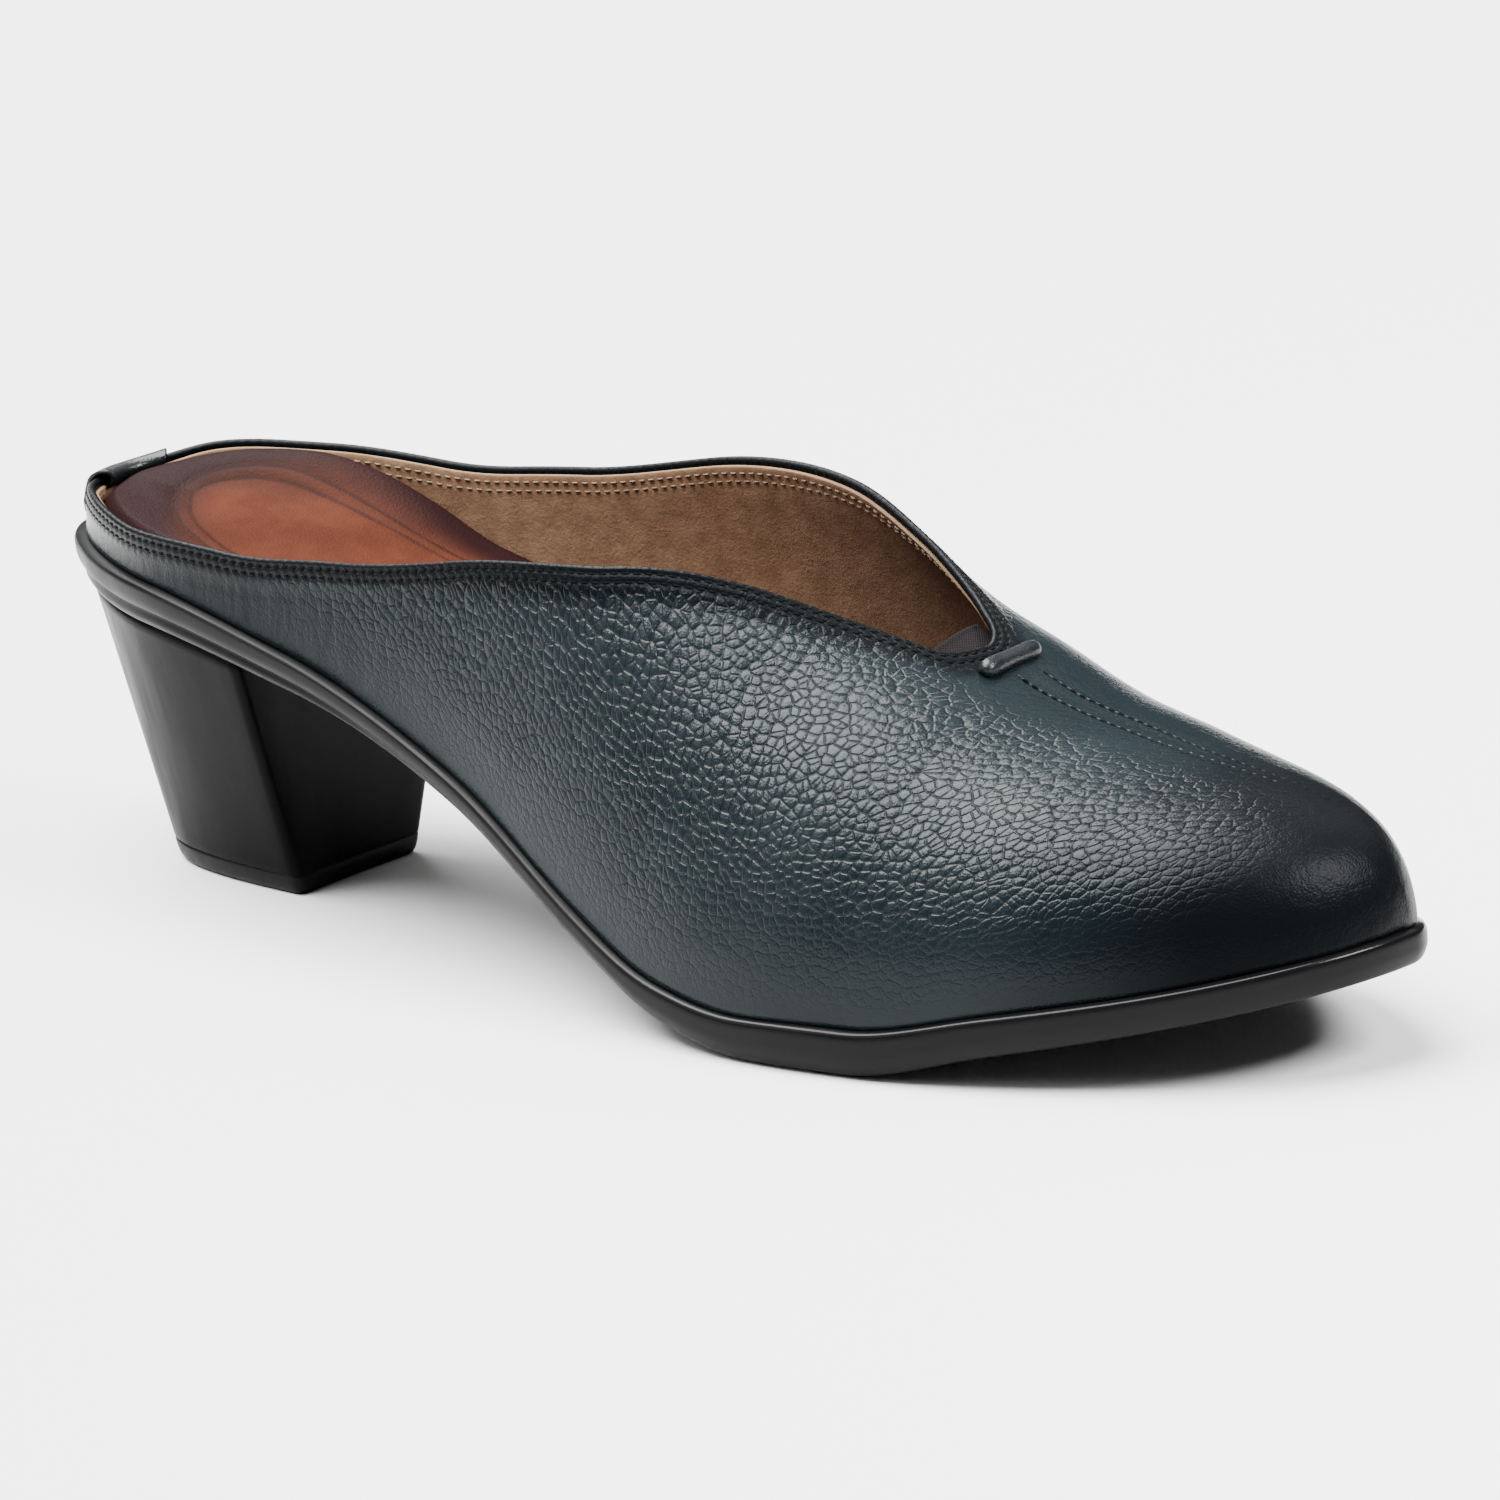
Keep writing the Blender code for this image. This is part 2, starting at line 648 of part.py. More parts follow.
def centre_on_origin(objects):
    """Move the whole shoe so that the middle of its base is the world origin."""
    bpy.context.view_layer.update()
    corners = []
    graph = bpy.context.evaluated_depsgraph_get()
    for obj in objects:
        mesh = obj.evaluated_get(graph).data
        corners.extend(tuple(vert.co) for vert in mesh.vertices)
    corners = np.array(corners)
    low, high = corners.min(axis=0), corners.max(axis=0)
    shift = Vector((-(low[0] + high[0]) / 2, -(low[1] + high[1]) / 2, -low[2]))
    for obj in objects:
        obj.location = shift
    print("shift to the origin in mm:", [round(1000 * value, 3) for value in shift])


def build_shoe():
    for obj in list(bpy.data.objects):
        bpy.data.objects.remove(obj, do_unlink=True)
    collection = bpy.data.collections.new("block_heel_mule")
    bpy.context.scene.collection.children.link(collection)

    leather = plain_material("teal_leather", (0.035, 0.055, 0.065), 0.42)
    trim = plain_material("trim_leather", (0.030, 0.045, 0.055), 0.38)
    sock = plain_material("brown_sock", (0.190, 0.065, 0.030), 0.55)
    elastic = plain_material("grey_elastic", (0.070, 0.060, 0.062), 0.85)
    rubber = plain_material("black_sole", (0.010, 0.010, 0.011), 0.30)
    heel = plain_material("black_heel", (0.014, 0.014, 0.015), 0.35)
    tread = plain_material("black_top_piece", (0.012, 0.012, 0.013), 0.55)

    pieces = [
        make_upper(leather, collection),
        make_outsole(rubber, collection),
        make_insole(sock, collection),
        make_heel_block(heel, collection),
        make_top_piece(tread, collection),
        make_gusset(elastic, collection),
        make_throat_bar(trim, collection),
        make_back_tab(trim, collection),
    ]
    centre_on_origin(pieces)


build_shoe()
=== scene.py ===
# %% [markdown]
# A block heel mule, dressed for the camera.
# The shoe is a backless leather mule for the right foot: one pebbled leather upper with a
# folded top edge and a V throat, a padded sock inside, a black moulded sole and a block heel.
# The solids come packed in a frame. This lesson puts a fine skin of leather, thread and
# lining over them, piece by piece, in metres and in the frame's own place.

# %% The frame
import math

import bmesh
import bpy
import numpy as np
from mathutils import Matrix, Vector


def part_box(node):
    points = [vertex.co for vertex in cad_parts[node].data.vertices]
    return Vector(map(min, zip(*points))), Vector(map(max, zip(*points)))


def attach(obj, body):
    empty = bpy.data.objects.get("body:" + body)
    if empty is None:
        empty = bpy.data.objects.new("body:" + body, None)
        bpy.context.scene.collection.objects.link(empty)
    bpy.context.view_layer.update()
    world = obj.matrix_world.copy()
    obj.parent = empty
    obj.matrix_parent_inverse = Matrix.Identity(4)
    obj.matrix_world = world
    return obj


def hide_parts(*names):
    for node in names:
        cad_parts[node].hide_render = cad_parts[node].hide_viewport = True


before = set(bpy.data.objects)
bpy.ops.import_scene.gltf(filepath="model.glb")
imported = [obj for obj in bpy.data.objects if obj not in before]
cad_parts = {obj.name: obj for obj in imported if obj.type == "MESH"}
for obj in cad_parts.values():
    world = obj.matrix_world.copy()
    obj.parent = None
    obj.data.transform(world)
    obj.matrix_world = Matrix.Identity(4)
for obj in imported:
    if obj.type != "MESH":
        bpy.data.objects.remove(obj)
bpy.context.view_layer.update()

print("solids:", sorted(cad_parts))

# %% [markdown]
# The last. A shoemaker builds a shoe on a last, a wooden foot that gives every piece its shape.
# It could be sculpted by hand, but a table of sections is easier to change and to repeat, so
# each row below is one section: how far along, how far its ridge drifts to the inner side, its
# half widths, its height and how boxy it is. All are shares of the few sizes at the top.

# %% Sizes of the last
MM = 0.001
LENGTH = 0.250
BALL_WIDTH = 0.0840
INSTEP = 0.075
TOE_SWING = 0.0170
SEAT_HEIGHT = 0.0446
TOE_SPRING = 0.0146
SOLE_EDGE = 0.0080
WELT = 0.0018
BACK_CURVE = 34.0
BACK_REACH = 0.0300
THROAT = 0.1745
WALL = 0.0020
INSOLE_PAD = 0.0062
INSOLE_INSET = 0.0027


def table(names, *rows):
    """Rows of numbers as a dict of named columns."""
    return dict(zip(names.split(), np.array(rows, float).T))


LAST = table(
    "along drift outer inner ridge round",
    (0.00, 0.00, 0.000, 0.000, 1.000, 2.30),
    (0.04, 0.00, 0.170, 0.166, 0.974, 2.33),
    (0.12, 0.00, 0.286, 0.263, 0.970, 2.28),
    (0.25, 0.10, 0.341, 0.324, 0.984, 2.14),
    (0.40, 0.30, 0.418, 0.374, 0.985, 2.06),
    (0.52, 0.45, 0.518, 0.412, 0.935, 2.12),
    (0.62, 0.54, 0.575, 0.422, 0.757, 2.30),
    (0.72, 0.64, 0.568, 0.391, 0.588, 2.52),
    (0.82, 0.79, 0.512, 0.334, 0.434, 2.46),
    (0.91, 0.93, 0.399, 0.236, 0.321, 2.32),
    (0.97, 0.98, 0.248, 0.118, 0.209, 2.16),
    (1.00, 1.00, 0.000, 0.000, 0.000, 2.05),
)
SIDE = table(
    "along heel_lift toe_lift edge",
    (0.00, 0.990, 0.000, 0.91),
    (0.05, 1.000, 0.000, 0.91),
    (0.12, 0.992, 0.000, 0.89),
    (0.25, 0.880, 0.000, 0.78),
    (0.40, 0.604, 0.000, 0.67),
    (0.52, 0.256, 0.000, 0.65),
    (0.59, 0.076, 0.000, 0.79),
    (0.66, 0.000, 0.000, 0.95),
    (0.73, 0.000, 0.000, 1.00),
    (0.82, 0.000, 0.330, 0.91),
    (0.91, 0.000, 0.650, 0.85),
    (1.00, 0.000, 1.000, 0.81),
)
COLLAR = table(
    "along outer inner",
    (0.000, 0.043, 0.043),
    (0.057, 0.048, 0.061),
    (0.143, 0.048, 0.068),
    (0.286, 0.080, 0.094),
    (0.429, 0.160, 0.171),
    (0.571, 0.290, 0.307),
    (0.714, 0.467, 0.480),
    (0.857, 0.748, 0.700),
    (0.932, 0.870, 0.838),
    (0.963, 0.905, 0.905),
    (0.980, 0.921, 0.938),
    (0.990, 0.935, 0.963),
    (0.996, 0.963, 0.984),
    (1.000, 1.000, 1.000),
)
print("last:", LENGTH / MM, "mm long,", len(LAST["along"]), "sections")

# %% [markdown]
# Between the rows the shape has to run smoothly. A spline through the rows does that. The
# height of the sole, the collar line and the sock must not swing past their rows, so they use
# a curve that stays between neighbours.

# %% Curves through the rows
def smooth_curve(knots, values):
    count = len(knots)
    step = np.diff(knots)
    system = np.eye(count)
    target = np.zeros(count)
    for i in range(1, count - 1):
        system[i, i - 1:i + 2] = step[i - 1], 2 * (step[i - 1] + step[i]), step[i]
        target[i] = 6 * ((values[i + 1] - values[i]) / step[i] - (values[i] - values[i - 1]) / step[i - 1])
    bend = np.linalg.solve(system, target)

    def curve(x):
        x = np.clip(x, knots[0], knots[-1])
        i = np.clip(np.searchsorted(knots, x, side="right") - 1, 0, count - 2)
        h = step[i]
        a = (knots[i + 1] - x) / h
        b = 1 - a
        lift = ((a ** 3 - a) * bend[i] + (b ** 3 - b) * bend[i + 1]) * h ** 2 / 6
        return a * values[i] + b * values[i + 1] + lift
    return curve


def level_curve(knots, values):
    step = np.diff(knots)
    slope = np.diff(values) / step
    tangent = np.zeros(len(knots))
    for i in range(1, len(knots) - 1):
        if slope[i - 1] * slope[i] > 0:
            first = 2 * step[i] + step[i - 1]
            second = step[i] + 2 * step[i - 1]
            tangent[i] = (first + second) / (first / slope[i - 1] + second / slope[i])
    tangent[0] = slope[0]
    tangent[-1] = slope[-1]

    def curve(x):
        x = np.clip(x, knots[0], knots[-1])
        i = np.clip(np.searchsorted(knots, x, side="right") - 1, 0, len(step) - 1)
        h = step[i]
        t = (x - knots[i]) / h
        start = values[i] * (2 * t ** 3 - 3 * t ** 2 + 1) + tangent[i] * h * (t ** 3 - 2 * t ** 2 + t)
        end = values[i + 1] * (3 * t ** 2 - 2 * t ** 3) + tangent[i + 1] * h * (t ** 3 - t ** 2)
        return start + end
    return curve


def turn_of(along):
    """Angle of a place along the last: 0 at the heel back, pi at the toe tip."""
    return np.arccos(np.clip(1 - 2 * along, -1, 1))


def along_of(turn):
    return (1 - np.cos(turn)) / 2


last_turns = turn_of(LAST["along"])
drift_at = smooth_curve(LAST["along"], TOE_SWING * LAST["drift"])
outer_at = smooth_curve(last_turns, BALL_WIDTH * LAST["outer"])
inner_at = smooth_curve(last_turns, BALL_WIDTH * LAST["inner"])
ridge_at = smooth_curve(last_turns, INSTEP * LAST["ridge"])
round_at = smooth_curve(LAST["along"], LAST["round"])
heel_lift_at = level_curve(SIDE["along"], SEAT_HEIGHT * SIDE["heel_lift"])
toe_lift_at = level_curve(SIDE["along"], TOE_SPRING * SIDE["toe_lift"])
edge_at = level_curve(SIDE["along"], SOLE_EDGE * SIDE["edge"])
collar_rows = COLLAR["along"] * THROAT / LENGTH
collar_outer_at = level_curve(collar_rows, COLLAR["outer"])
collar_inner_at = level_curve(collar_rows, COLLAR["inner"])
print("edge of the sole at heel, arch and toe:", (edge_at(np.array((0, 0.52, 1))) / MM).round(1), "mm")

# %% [markdown]
# Places on the last. Any point of the skin has two numbers: its turn, from the heel back to the
# toe tip, and how far across it lies, from the outer feather line (-1) over the ridge (0) to
# the inner one (1). The feather line is where the upper meets the sole.

# %% Points and normals of the last
shoe_place = np.array((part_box("upper")[0][0], -0.002772, 0.0))
print("the last stands at", [round(1000 * value, 2) for value in shoe_place], "mm")


def under_height(along):
    return heel_lift_at(along) + toe_lift_at(along)


def feather_height(along):
    return under_height(along) + edge_at(along)


def back_shift(along, rise):
    fade = np.clip(1 - along * LENGTH / BACK_REACH, 0, 1) ** 2
    return BACK_CURVE * rise ** 2 * fade


def last_point(turn, across):
    """Points of the last in the frame; past either end the skin carries on round it."""
    turn, across = np.broadcast_arrays(np.asarray(turn, float), np.asarray(across, float))
    past_toe = turn > math.pi
    across = np.where((turn < 0) ^ past_toe, -across, across)
    turn = np.where(past_toe, 2 * math.pi - turn, np.abs(turn))
    along = along_of(turn)
    power = 2 / round_at(along)
    angle = (1 - np.clip(np.abs(across), 0, 1)) * math.pi / 2
    width = np.maximum(np.where(across < 0, outer_at(turn), inner_at(turn)), 0)
    rise = np.maximum(ridge_at(turn), 0) * np.sin(angle) ** power
    x = along * LENGTH + back_shift(along, rise)
    y = drift_at(along) + np.where(across < 0, -1, 1) * width * np.cos(angle) ** power
    return np.stack((x, y, feather_height(along) + rise), axis=-1) + shoe_place


def unit(vectors):
    return vectors / np.maximum(np.linalg.norm(vectors, axis=-1, keepdims=True), 1e-12)


def last_normal(turn, across):
    """Outward normals of the last at the same places."""
    step = 0.004
    ahead = last_point(turn + step, across) - last_point(turn - step, across)
    low, high = np.maximum(across - step, -1), np.minimum(across + step, 1)
    sideways = last_point(turn, high) - last_point(turn, low)
    return unit(np.cross(ahead, sideways))


def collar_across(turn, side):
    """How far across the collar lies on one side, for turns behind the throat."""
    along = along_of(turn)
    return side * (1 - (collar_outer_at(along) if side < 0 else collar_inner_at(along)))


def across_for(along, distance):
    """Across value of the place a level distance beside the ridge."""
    turn = turn_of(along)
    width = np.where(distance < 0, outer_at(turn), inner_at(turn))
    angle = np.arccos(np.minimum(np.abs(distance) / width, 1) ** (round_at(along) / 2))
    return np.copysign(1 - angle / (math.pi / 2), distance)


# %% [markdown]
# Meshes from grids. Nearly every piece here is a grid of points: rings or rows that lie side by
# side. One helper turns such a grid into a mesh, and can store a number for every point, such
# as its distance from the collar, which the finishes read later as a named attribute.

# %% Grid helper
def new_piece(name, points, faces):
    """Smooth mesh object that is not in the scene yet."""
    mesh = bpy.data.meshes.new(name)
    mesh.from_pydata(np.asarray(points).tolist(), [], faces)
    mesh.shade_smooth()
    print(name, "faces", len(mesh.polygons))
    return bpy.data.objects.new(name, mesh)


def grid_piece(name, grid, marks=None, ring_u=False, ring_v=False, flip=False, caps=None):
    """Object from a grid of points; ring_u and ring_v join its last row to its first.

    Caps close the first and the last row: "flat" with one face, "folded" with a strip of faces.
    """
    rows, cols = grid.shape[:2]
    index = np.arange(rows * cols).reshape(rows, cols)
    u = np.arange(rows if ring_u else rows - 1)
    v = np.arange(cols if ring_v else cols - 1)
    u, v = np.meshgrid(u, v, indexing="ij")
    next_u, next_v = (u + 1) % rows, (v + 1) % cols
    quads = np.stack((index[u, v], index[next_u, v], index[next_u, next_v], index[u, next_v]), axis=-1)
    quads = quads.reshape(-1, 4)
    if flip:
        quads = quads[:, ::-1]
    faces = quads.tolist()
    if caps == "flat":
        faces += [index[0][::-1].tolist(), index[-1].tolist()]
    if caps == "folded":
        for row in (index[0], index[-1]):
            faces += [(row[k], row[k + 1], row[cols - 2 - k], row[cols - 1 - k])
                      for k in range(cols // 2 - 1)]
    obj = new_piece(name, grid.reshape(-1, 3), faces)
    for mark, values in (marks or {}).items():
        layer = obj.data.attributes.new(mark, "FLOAT", "POINT")
        layer.data.foreach_set("value", np.asarray(values, np.float32).reshape(-1))
    return obj


def weld(obj, distance=2e-5):
    bm = bmesh.new()
    bm.from_mesh(obj.data)
    bmesh.ops.remove_doubles(bm, verts=bm.verts, dist=distance)
    bmesh.ops.recalc_face_normals(bm, faces=bm.faces)
    bm.to_mesh(obj.data)
    bm.free()


def ease(x, low, high):
    """0 below low, 1 above high, and a soft step between."""
    t = np.clip((x - low) / (high - low), 0, 1)
    return t * t * (3 - 2 * t)

# %% [markdown]
# The collar is a loop: from the heel back along the outer side, round the bottom of the throat
# and back along the inner side. The upper hangs from it like a skirt from a waistband, so its
# grid runs the same way. Every column starts on the collar and ends on the feather line. That
# way the folded edge and its stitches follow the grid, also round the tight bottom of the V.

# %% Columns from the collar to the feather line
COLLAR_COLUMNS_A_SIDE = 230
FAN_START = 0.105
COLLAR_SAMPLES, THROAT_SAMPLES, FEATHER_SAMPLES = 1500, 500, 1600


def lay_out(turn, across):
    """Flat chart of the skin: x along, y across, drawn in towards the toe tip."""
    return np.stack((-np.cos(turn), across * np.sin(np.maximum(turn, math.pi / 2))), axis=-1)


def fold_back(chart):
    turn = np.arccos(np.clip(-chart[..., 0], -1, 1))
    across = chart[..., 1] / np.maximum(np.sin(np.maximum(turn, math.pi / 2)), 1e-6)
    return turn, np.clip(across, -1, 1)


def run_along(points):
    """Length run from the first point of a line to each of its points."""
    steps = np.linalg.norm(np.diff(points, axis=-2), axis=-1)
    return np.concatenate((np.zeros(steps.shape[:-1] + (1,)), np.cumsum(steps, axis=-1)), axis=-1)


def collar_and_feather(side):
    """Chart places of the columns' two ends on one side, from the heel back to the throat."""
    nearing = np.append(np.geomspace(0.03, 1e-5, THROAT_SAMPLES), 0)
    near_throat = turn_of(THROAT / LENGTH * (1 - nearing))
    turns = np.append(np.linspace(0, near_throat[0], COLLAR_SAMPLES, endpoint=False), near_throat)
    across = collar_across(turns, side)
    across[-1] = 0
    run = run_along(last_point(turns, across))
    wanted = np.linspace(0, run[-1], COLLAR_COLUMNS_A_SIDE + 1)
    collar_turn = np.interp(wanted, run, turns)
    collar = collar_across(collar_turn, side)
    collar[-1] = 0
    feather_turns = np.linspace(0, math.pi, FEATHER_SAMPLES)
    feather_run = run_along(last_point(feather_turns, side))
    fan = turn_of(FAN_START / LENGTH)
    fan_run = np.interp(fan, turns, run)
    feather_start = np.interp(fan, feather_turns, feather_run)
    first = run[-1] - fan_run
    whole = feather_run[-1] - feather_start
    share = np.clip((wanted - fan_run) / first, 0, 1)
    spread = feather_start + first * share + (whole - first) * share ** 2
    feather_turn = np.where(wanted < fan_run, collar_turn, np.interp(spread, feather_run, feather_turns))
    feather_turn[-1] = math.pi
    return (lay_out(collar_turn, collar), lay_out(feather_turn, side)), wanted


outer_ends, outer_run = collar_and_feather(-1)
inner_ends, inner_run = collar_and_feather(1)
collar_ends = np.concatenate((outer_ends[0], inner_ends[0][-2:0:-1]))
feather_ends = np.concatenate((outer_ends[1], inner_ends[1][-2:0:-1]))
collar_run = np.concatenate((outer_run, outer_run[-1] + inner_run[-1] - inner_run[-2:0:-1]))
COLLAR_LENGTH = outer_run[-1] + inner_run[-1]
print("collar", round(1000 * COLLAR_LENGTH), "mm,", len(collar_run), "columns")

FINE = np.linspace(0, 1, 161)
chart = collar_ends[:, None] + (feather_ends - collar_ends)[:, None] * FINE[None, :, None]
fine_depth = run_along(last_point(*fold_back(chart)))
print("upper from collar to sole:", (1000 * fine_depth[:, -1].min()).round(1), "to",
      (1000 * fine_depth[:, -1].max()).round(1), "mm")


def skin_rows(edge_rows, plain_rows):
    """Turn, across and depth below the collar of a grid with fixed rows near the collar."""
    edge_rows = np.asarray(edge_rows) * MM
    rest = np.linspace(0, 1, plain_rows + 1)[1:]
    wanted = np.concatenate([np.broadcast_to(edge_rows, (len(collar_run), len(edge_rows))),
                             edge_rows[-1] + rest[None] * (fine_depth[:, -1:] - edge_rows[-1])], axis=1)
    share = np.stack([np.interp(row, depth, FINE) for row, depth in zip(wanted, fine_depth)])
    place = collar_ends[:, None] + (feather_ends - collar_ends)[:, None] * share[..., None]
    turn, across = fold_back(place)
    return turn, across, wanted


# %% [markdown]
# The relief. On the real shoe the top edge is skived, turned over and stitched down
# with two rows, so the edge is round and a little thicker, and the stitches lie in shallow
# dips. Sculpting would do it, but rows of the grid at set distances from the edge give the
# same relief exactly, all the way round. Around the bar and the toe the leather puckers a bit.

# %% Relief of the leather
STITCH_ROWS = (1.2, 2.6)
STITCH_PITCH = 1.85
SEAM_START = 7.5 * MM
SEAM_ENDS = {-1: 0.910, 1: 0.955}
LEATHER_PLAIN_ROWS = 62
EDGE_ROWS = (0.6, 0.9, 1.2, 1.5, 1.9, 2.3, 2.6, 2.95, 3.4, 4.0, 4.8, 5.8)
WAVE_SIZE = 0.034
WAVE_RISE, SEAM_RISE, STITCH_DIP, PUCKER_RISE, WRINKLE_RISE = 0.16, 0.10, 0.14, 0.22, 0.16
RELIEF = table("depth rise", (0.0, 0.36), (0.5, 0.40), (1.2, 0.20), (1.9, 0.38), (2.6, 0.12), (3.2, 0.20),
               (4.6, 0.06), (7.0, 0.0))
relief_at = smooth_curve(RELIEF["depth"], RELIEF["rise"])


def wavy(points, size, seed, octaves=3):
    """Soft noise between about -1 and 1 from a few crossed waves; size in metres."""
    rng = np.random.default_rng(seed)
    total = np.zeros(points.shape[:-1])
    strength = 1.0
    for _ in range(octaves):
        for _ in range(5):
            heading = unit(rng.normal(size=3))
            phase = rng.uniform(0, 2 * math.pi)
            bend = np.sin(points @ unit(rng.normal(size=3)) / size * 2.1 + phase)
            total += strength * np.sin(points @ heading / size * 2 * math.pi + phase + 1.3 * bend)
        size /= 2
        strength *= 0.5
    return total / 4.0


def around(points, centre, reach):
    """1 at a place of the shoe and 0 beyond its reach; both in mm, the place from the heel back."""
    away = (points - shoe_place) / MM - np.array(centre)
    return np.exp(-(away ** 2 / np.array(reach) ** 2).sum(axis=-1))


def seam_half(along):
    """Half the distance between the two stitch rows of the vamp seam, in metres."""
    return MM * np.interp(along, (0.70, 0.80, 0.90, 0.97, 1.0), (2.4, 2.1, 1.5, 0.8, 0.3))


def seam_middle(along):
    """Level distance of the seam from the ridge line, in metres; it wanders a little."""
    return MM * np.interp(along, (0.70, 0.80, 0.85, 0.90, 0.95), (0.9, 0.0, -0.7, -0.6, 0.0))


def seam_offset(points, turn):
    """Level distance from the middle of the seam, in metres, positive on the inner side."""
    along = along_of(turn)
    return points[..., 1] - shoe_place[1] - drift_at(along) - seam_middle(along)


def leather_relief(points, turn, depth):
    """Height of the leather over the last: folded edge, soft waves, seam, puckers, toe wrinkles."""
    edge = relief_at(np.minimum(depth / MM, RELIEF["depth"][-1]))
    waves = WAVE_RISE * wavy(points, WAVE_SIZE, 3) * ease(depth, 0.006, 0.016)
    beside, half = np.abs(seam_offset(points, turn)), seam_half(along_of(turn))
    seam = (SEAM_RISE * np.exp(-(beside / (0.7 * half)) ** 2)
            - STITCH_DIP * np.exp(-((beside - half) / (0.35 * MM)) ** 2))
    seam = seam * ease(along_of(turn) * LENGTH, THROAT + 0.003, THROAT + 0.010)
    bar_waves = np.sin((points[..., 0] - 0.55 * points[..., 1]) / 0.0031)
    puckers = PUCKER_RISE * around(points, (183, 4, 52), (9, 8, 9)) * bar_waves
    wrinkles = WRINKLE_RISE * around(points, (247, 16, 22), (7, 8, 12)) * np.sin(points[..., 1] / 0.0011)
    return MM * (edge + waves) + MM * seam + MM * (puckers + wrinkles)


print("the folded edge stands out by", RELIEF["rise"].max(), "mm")


# %% [markdown]
# The upper. Its grid is the last's surface lifted along its normals by the relief. A few more
# rows fold over the collar and down inside it, and one row tucks down into the sole, so that no
# edge of the sheet shows.

# %% The upper's leather
turn, across, depth = skin_rows(EDGE_ROWS, LEATHER_PLAIN_ROWS)
points = last_point(turn, across)
normals = last_normal(turn, across)
skin = points + normals * leather_relief(points, turn, depth)[..., None]

collar_turn, collar_place = fold_back(collar_ends)
collar_points = last_point(collar_turn, collar_place)
collar_normals = last_normal(collar_turn, collar_place)
collar_down = unit(points[:, 0] - collar_points)
FOLD = ((-1.05, 1.50), (-1.00, 0.60), (-0.86, 0.22), (-0.55, 0.02), (-0.15, -0.03), (0.18, 0.10),
        (0.38, 0.42))


def edge_strip(profile):
    """Rows beside the collar line, from a profile of (out, down) in mm."""
    return np.stack([collar_points + MM * (out * collar_normals + down * collar_down)
                     for out, down in profile], axis=1)


fold = edge_strip(FOLD)
tuck = skin[:, -1] - MM * (0.35 * normals[:, -1] * np.array((1, 1, 0)) + np.array((0, 0, 0.35)))
leather_grid = np.concatenate((fold, skin, tuck[:, None]), axis=1)


def with_fold(values):
    """Marks of the skin with rows for its fold and tuck: copies of its first and last row."""
    return np.concatenate([values[:, :1]] * len(FOLD) + [values, values[:, -1:]], axis=1)


depth_marks = with_fold(depth / MM)
depth_marks[:, :len(FOLD)] = [down for _, down in FOLD]
along_marks = with_fold(along_of(turn) * LENGTH / MM)
beside_marks = with_fold(np.abs(seam_offset(points, turn)) / MM)
half_marks = with_fold(seam_half(along_of(turn)) / MM)
above = with_fold((points[..., 2] - feather_height(along_of(turn))) / MM)
side_marks = with_fold(across)

# %% [markdown]
# Where the leather is pebbled, smooth or burnished. Tanneries print or tumble the grain, and
# the maker then stretches the leather over the last: it lies smooth at the toe, beside the
# sole and over the ridge, and shows its pebbles on the side. Wax darkens the toe and edges.

# %% Grain and burnish marks
CELLS_A_MM = 0.66
GIRTHS, GIRTH_STEPS = 180, 160
girth_turns = np.linspace(0, math.pi, GIRTHS + 1)[:, None]
girths = run_along(last_point(girth_turns, np.linspace(-1, 1, GIRTH_STEPS + 1)))


def height_up_side(turn, across):
    """Length up the skin from the feather line of the same side, in metres."""
    i = np.clip(turn / math.pi * GIRTHS, 0, GIRTHS - 0.001)
    j = np.clip((across + 1) / 2 * GIRTH_STEPS, 0, GIRTH_STEPS - 0.001)
    low_i, low_j = i.astype(int), j.astype(int)
    di, dj = i - low_i, j - low_j

    def girth(j):
        return (1 - di) * girths[low_i, j] + di * girths[low_i + 1, j]

    from_outer, whole = (1 - dj) * girth(low_j) + dj * girth(low_j + 1), girth(-1)
    return np.where(across < 0, from_outer, whole - from_outer)


up_side = with_fold(height_up_side(turn, across) / MM)
cell_x = CELLS_A_MM * along_marks
cell_y = CELLS_A_MM * (0.86 * up_side + 0.28 * 24 * (1 - np.exp(-up_side / 24)))
flow = 3 * with_fold(wavy(points, 0.030, 11))
grain = np.maximum(ease(-side_marks, 0.02, 0.20), ease(side_marks, 0.22, 0.50))
grain = grain * (0.25 + 0.75 * ease(above + flow, 7, 25)) * ease(above, 0.5, 5)
grain = grain * (0.45 + 0.55 * ease(along_marks + flow, 55, 85)) * ease(along_marks, 8, 30)
grain = np.maximum(grain, 0.22 * ease(along_marks, 120, 160) * ease(above, 4, 12))
grain = grain * (1 - ease(along_marks + flow, 226, 242)) * (0.3 + 0.7 * ease(depth_marks, 2.7, 3.5))
near_throat = ease(along_marks, 120, 160) * (1 - ease(depth_marks, 5, 16)) * ease(depth_marks, 2.7, 3.5)
grain = np.maximum(grain, 0.8 * near_throat * (1 - ease(along_marks, 172, 182)))
burnish = np.maximum.reduce((
    ease(along_marks + flow, 200, 236),
    (1 - ease(depth_marks, 3.0, 8.0)) * ease(along_marks, 70, 110),
    1 - ease(depth_marks, 2.9, 3.5),
    0.75 * (1 - ease(along_marks, 2, 24)),
    0.55 * (1 - ease(along_marks, 35, 105)),
))
heel_creases = (1 - ease(along_marks, 70, 95)) * ease(depth_marks, 3.8, 5.0)
print("pebbled share of the upper:", grain.mean().round(2), "waxed share:", burnish.mean().round(2))

# %% [markdown]
# Marks for the stitches. The finish needs to know how many stitches lie before each point, so
# that it can press a hole between two of them. The count comes from the length run along the
# rows, and the same count places the threads later.

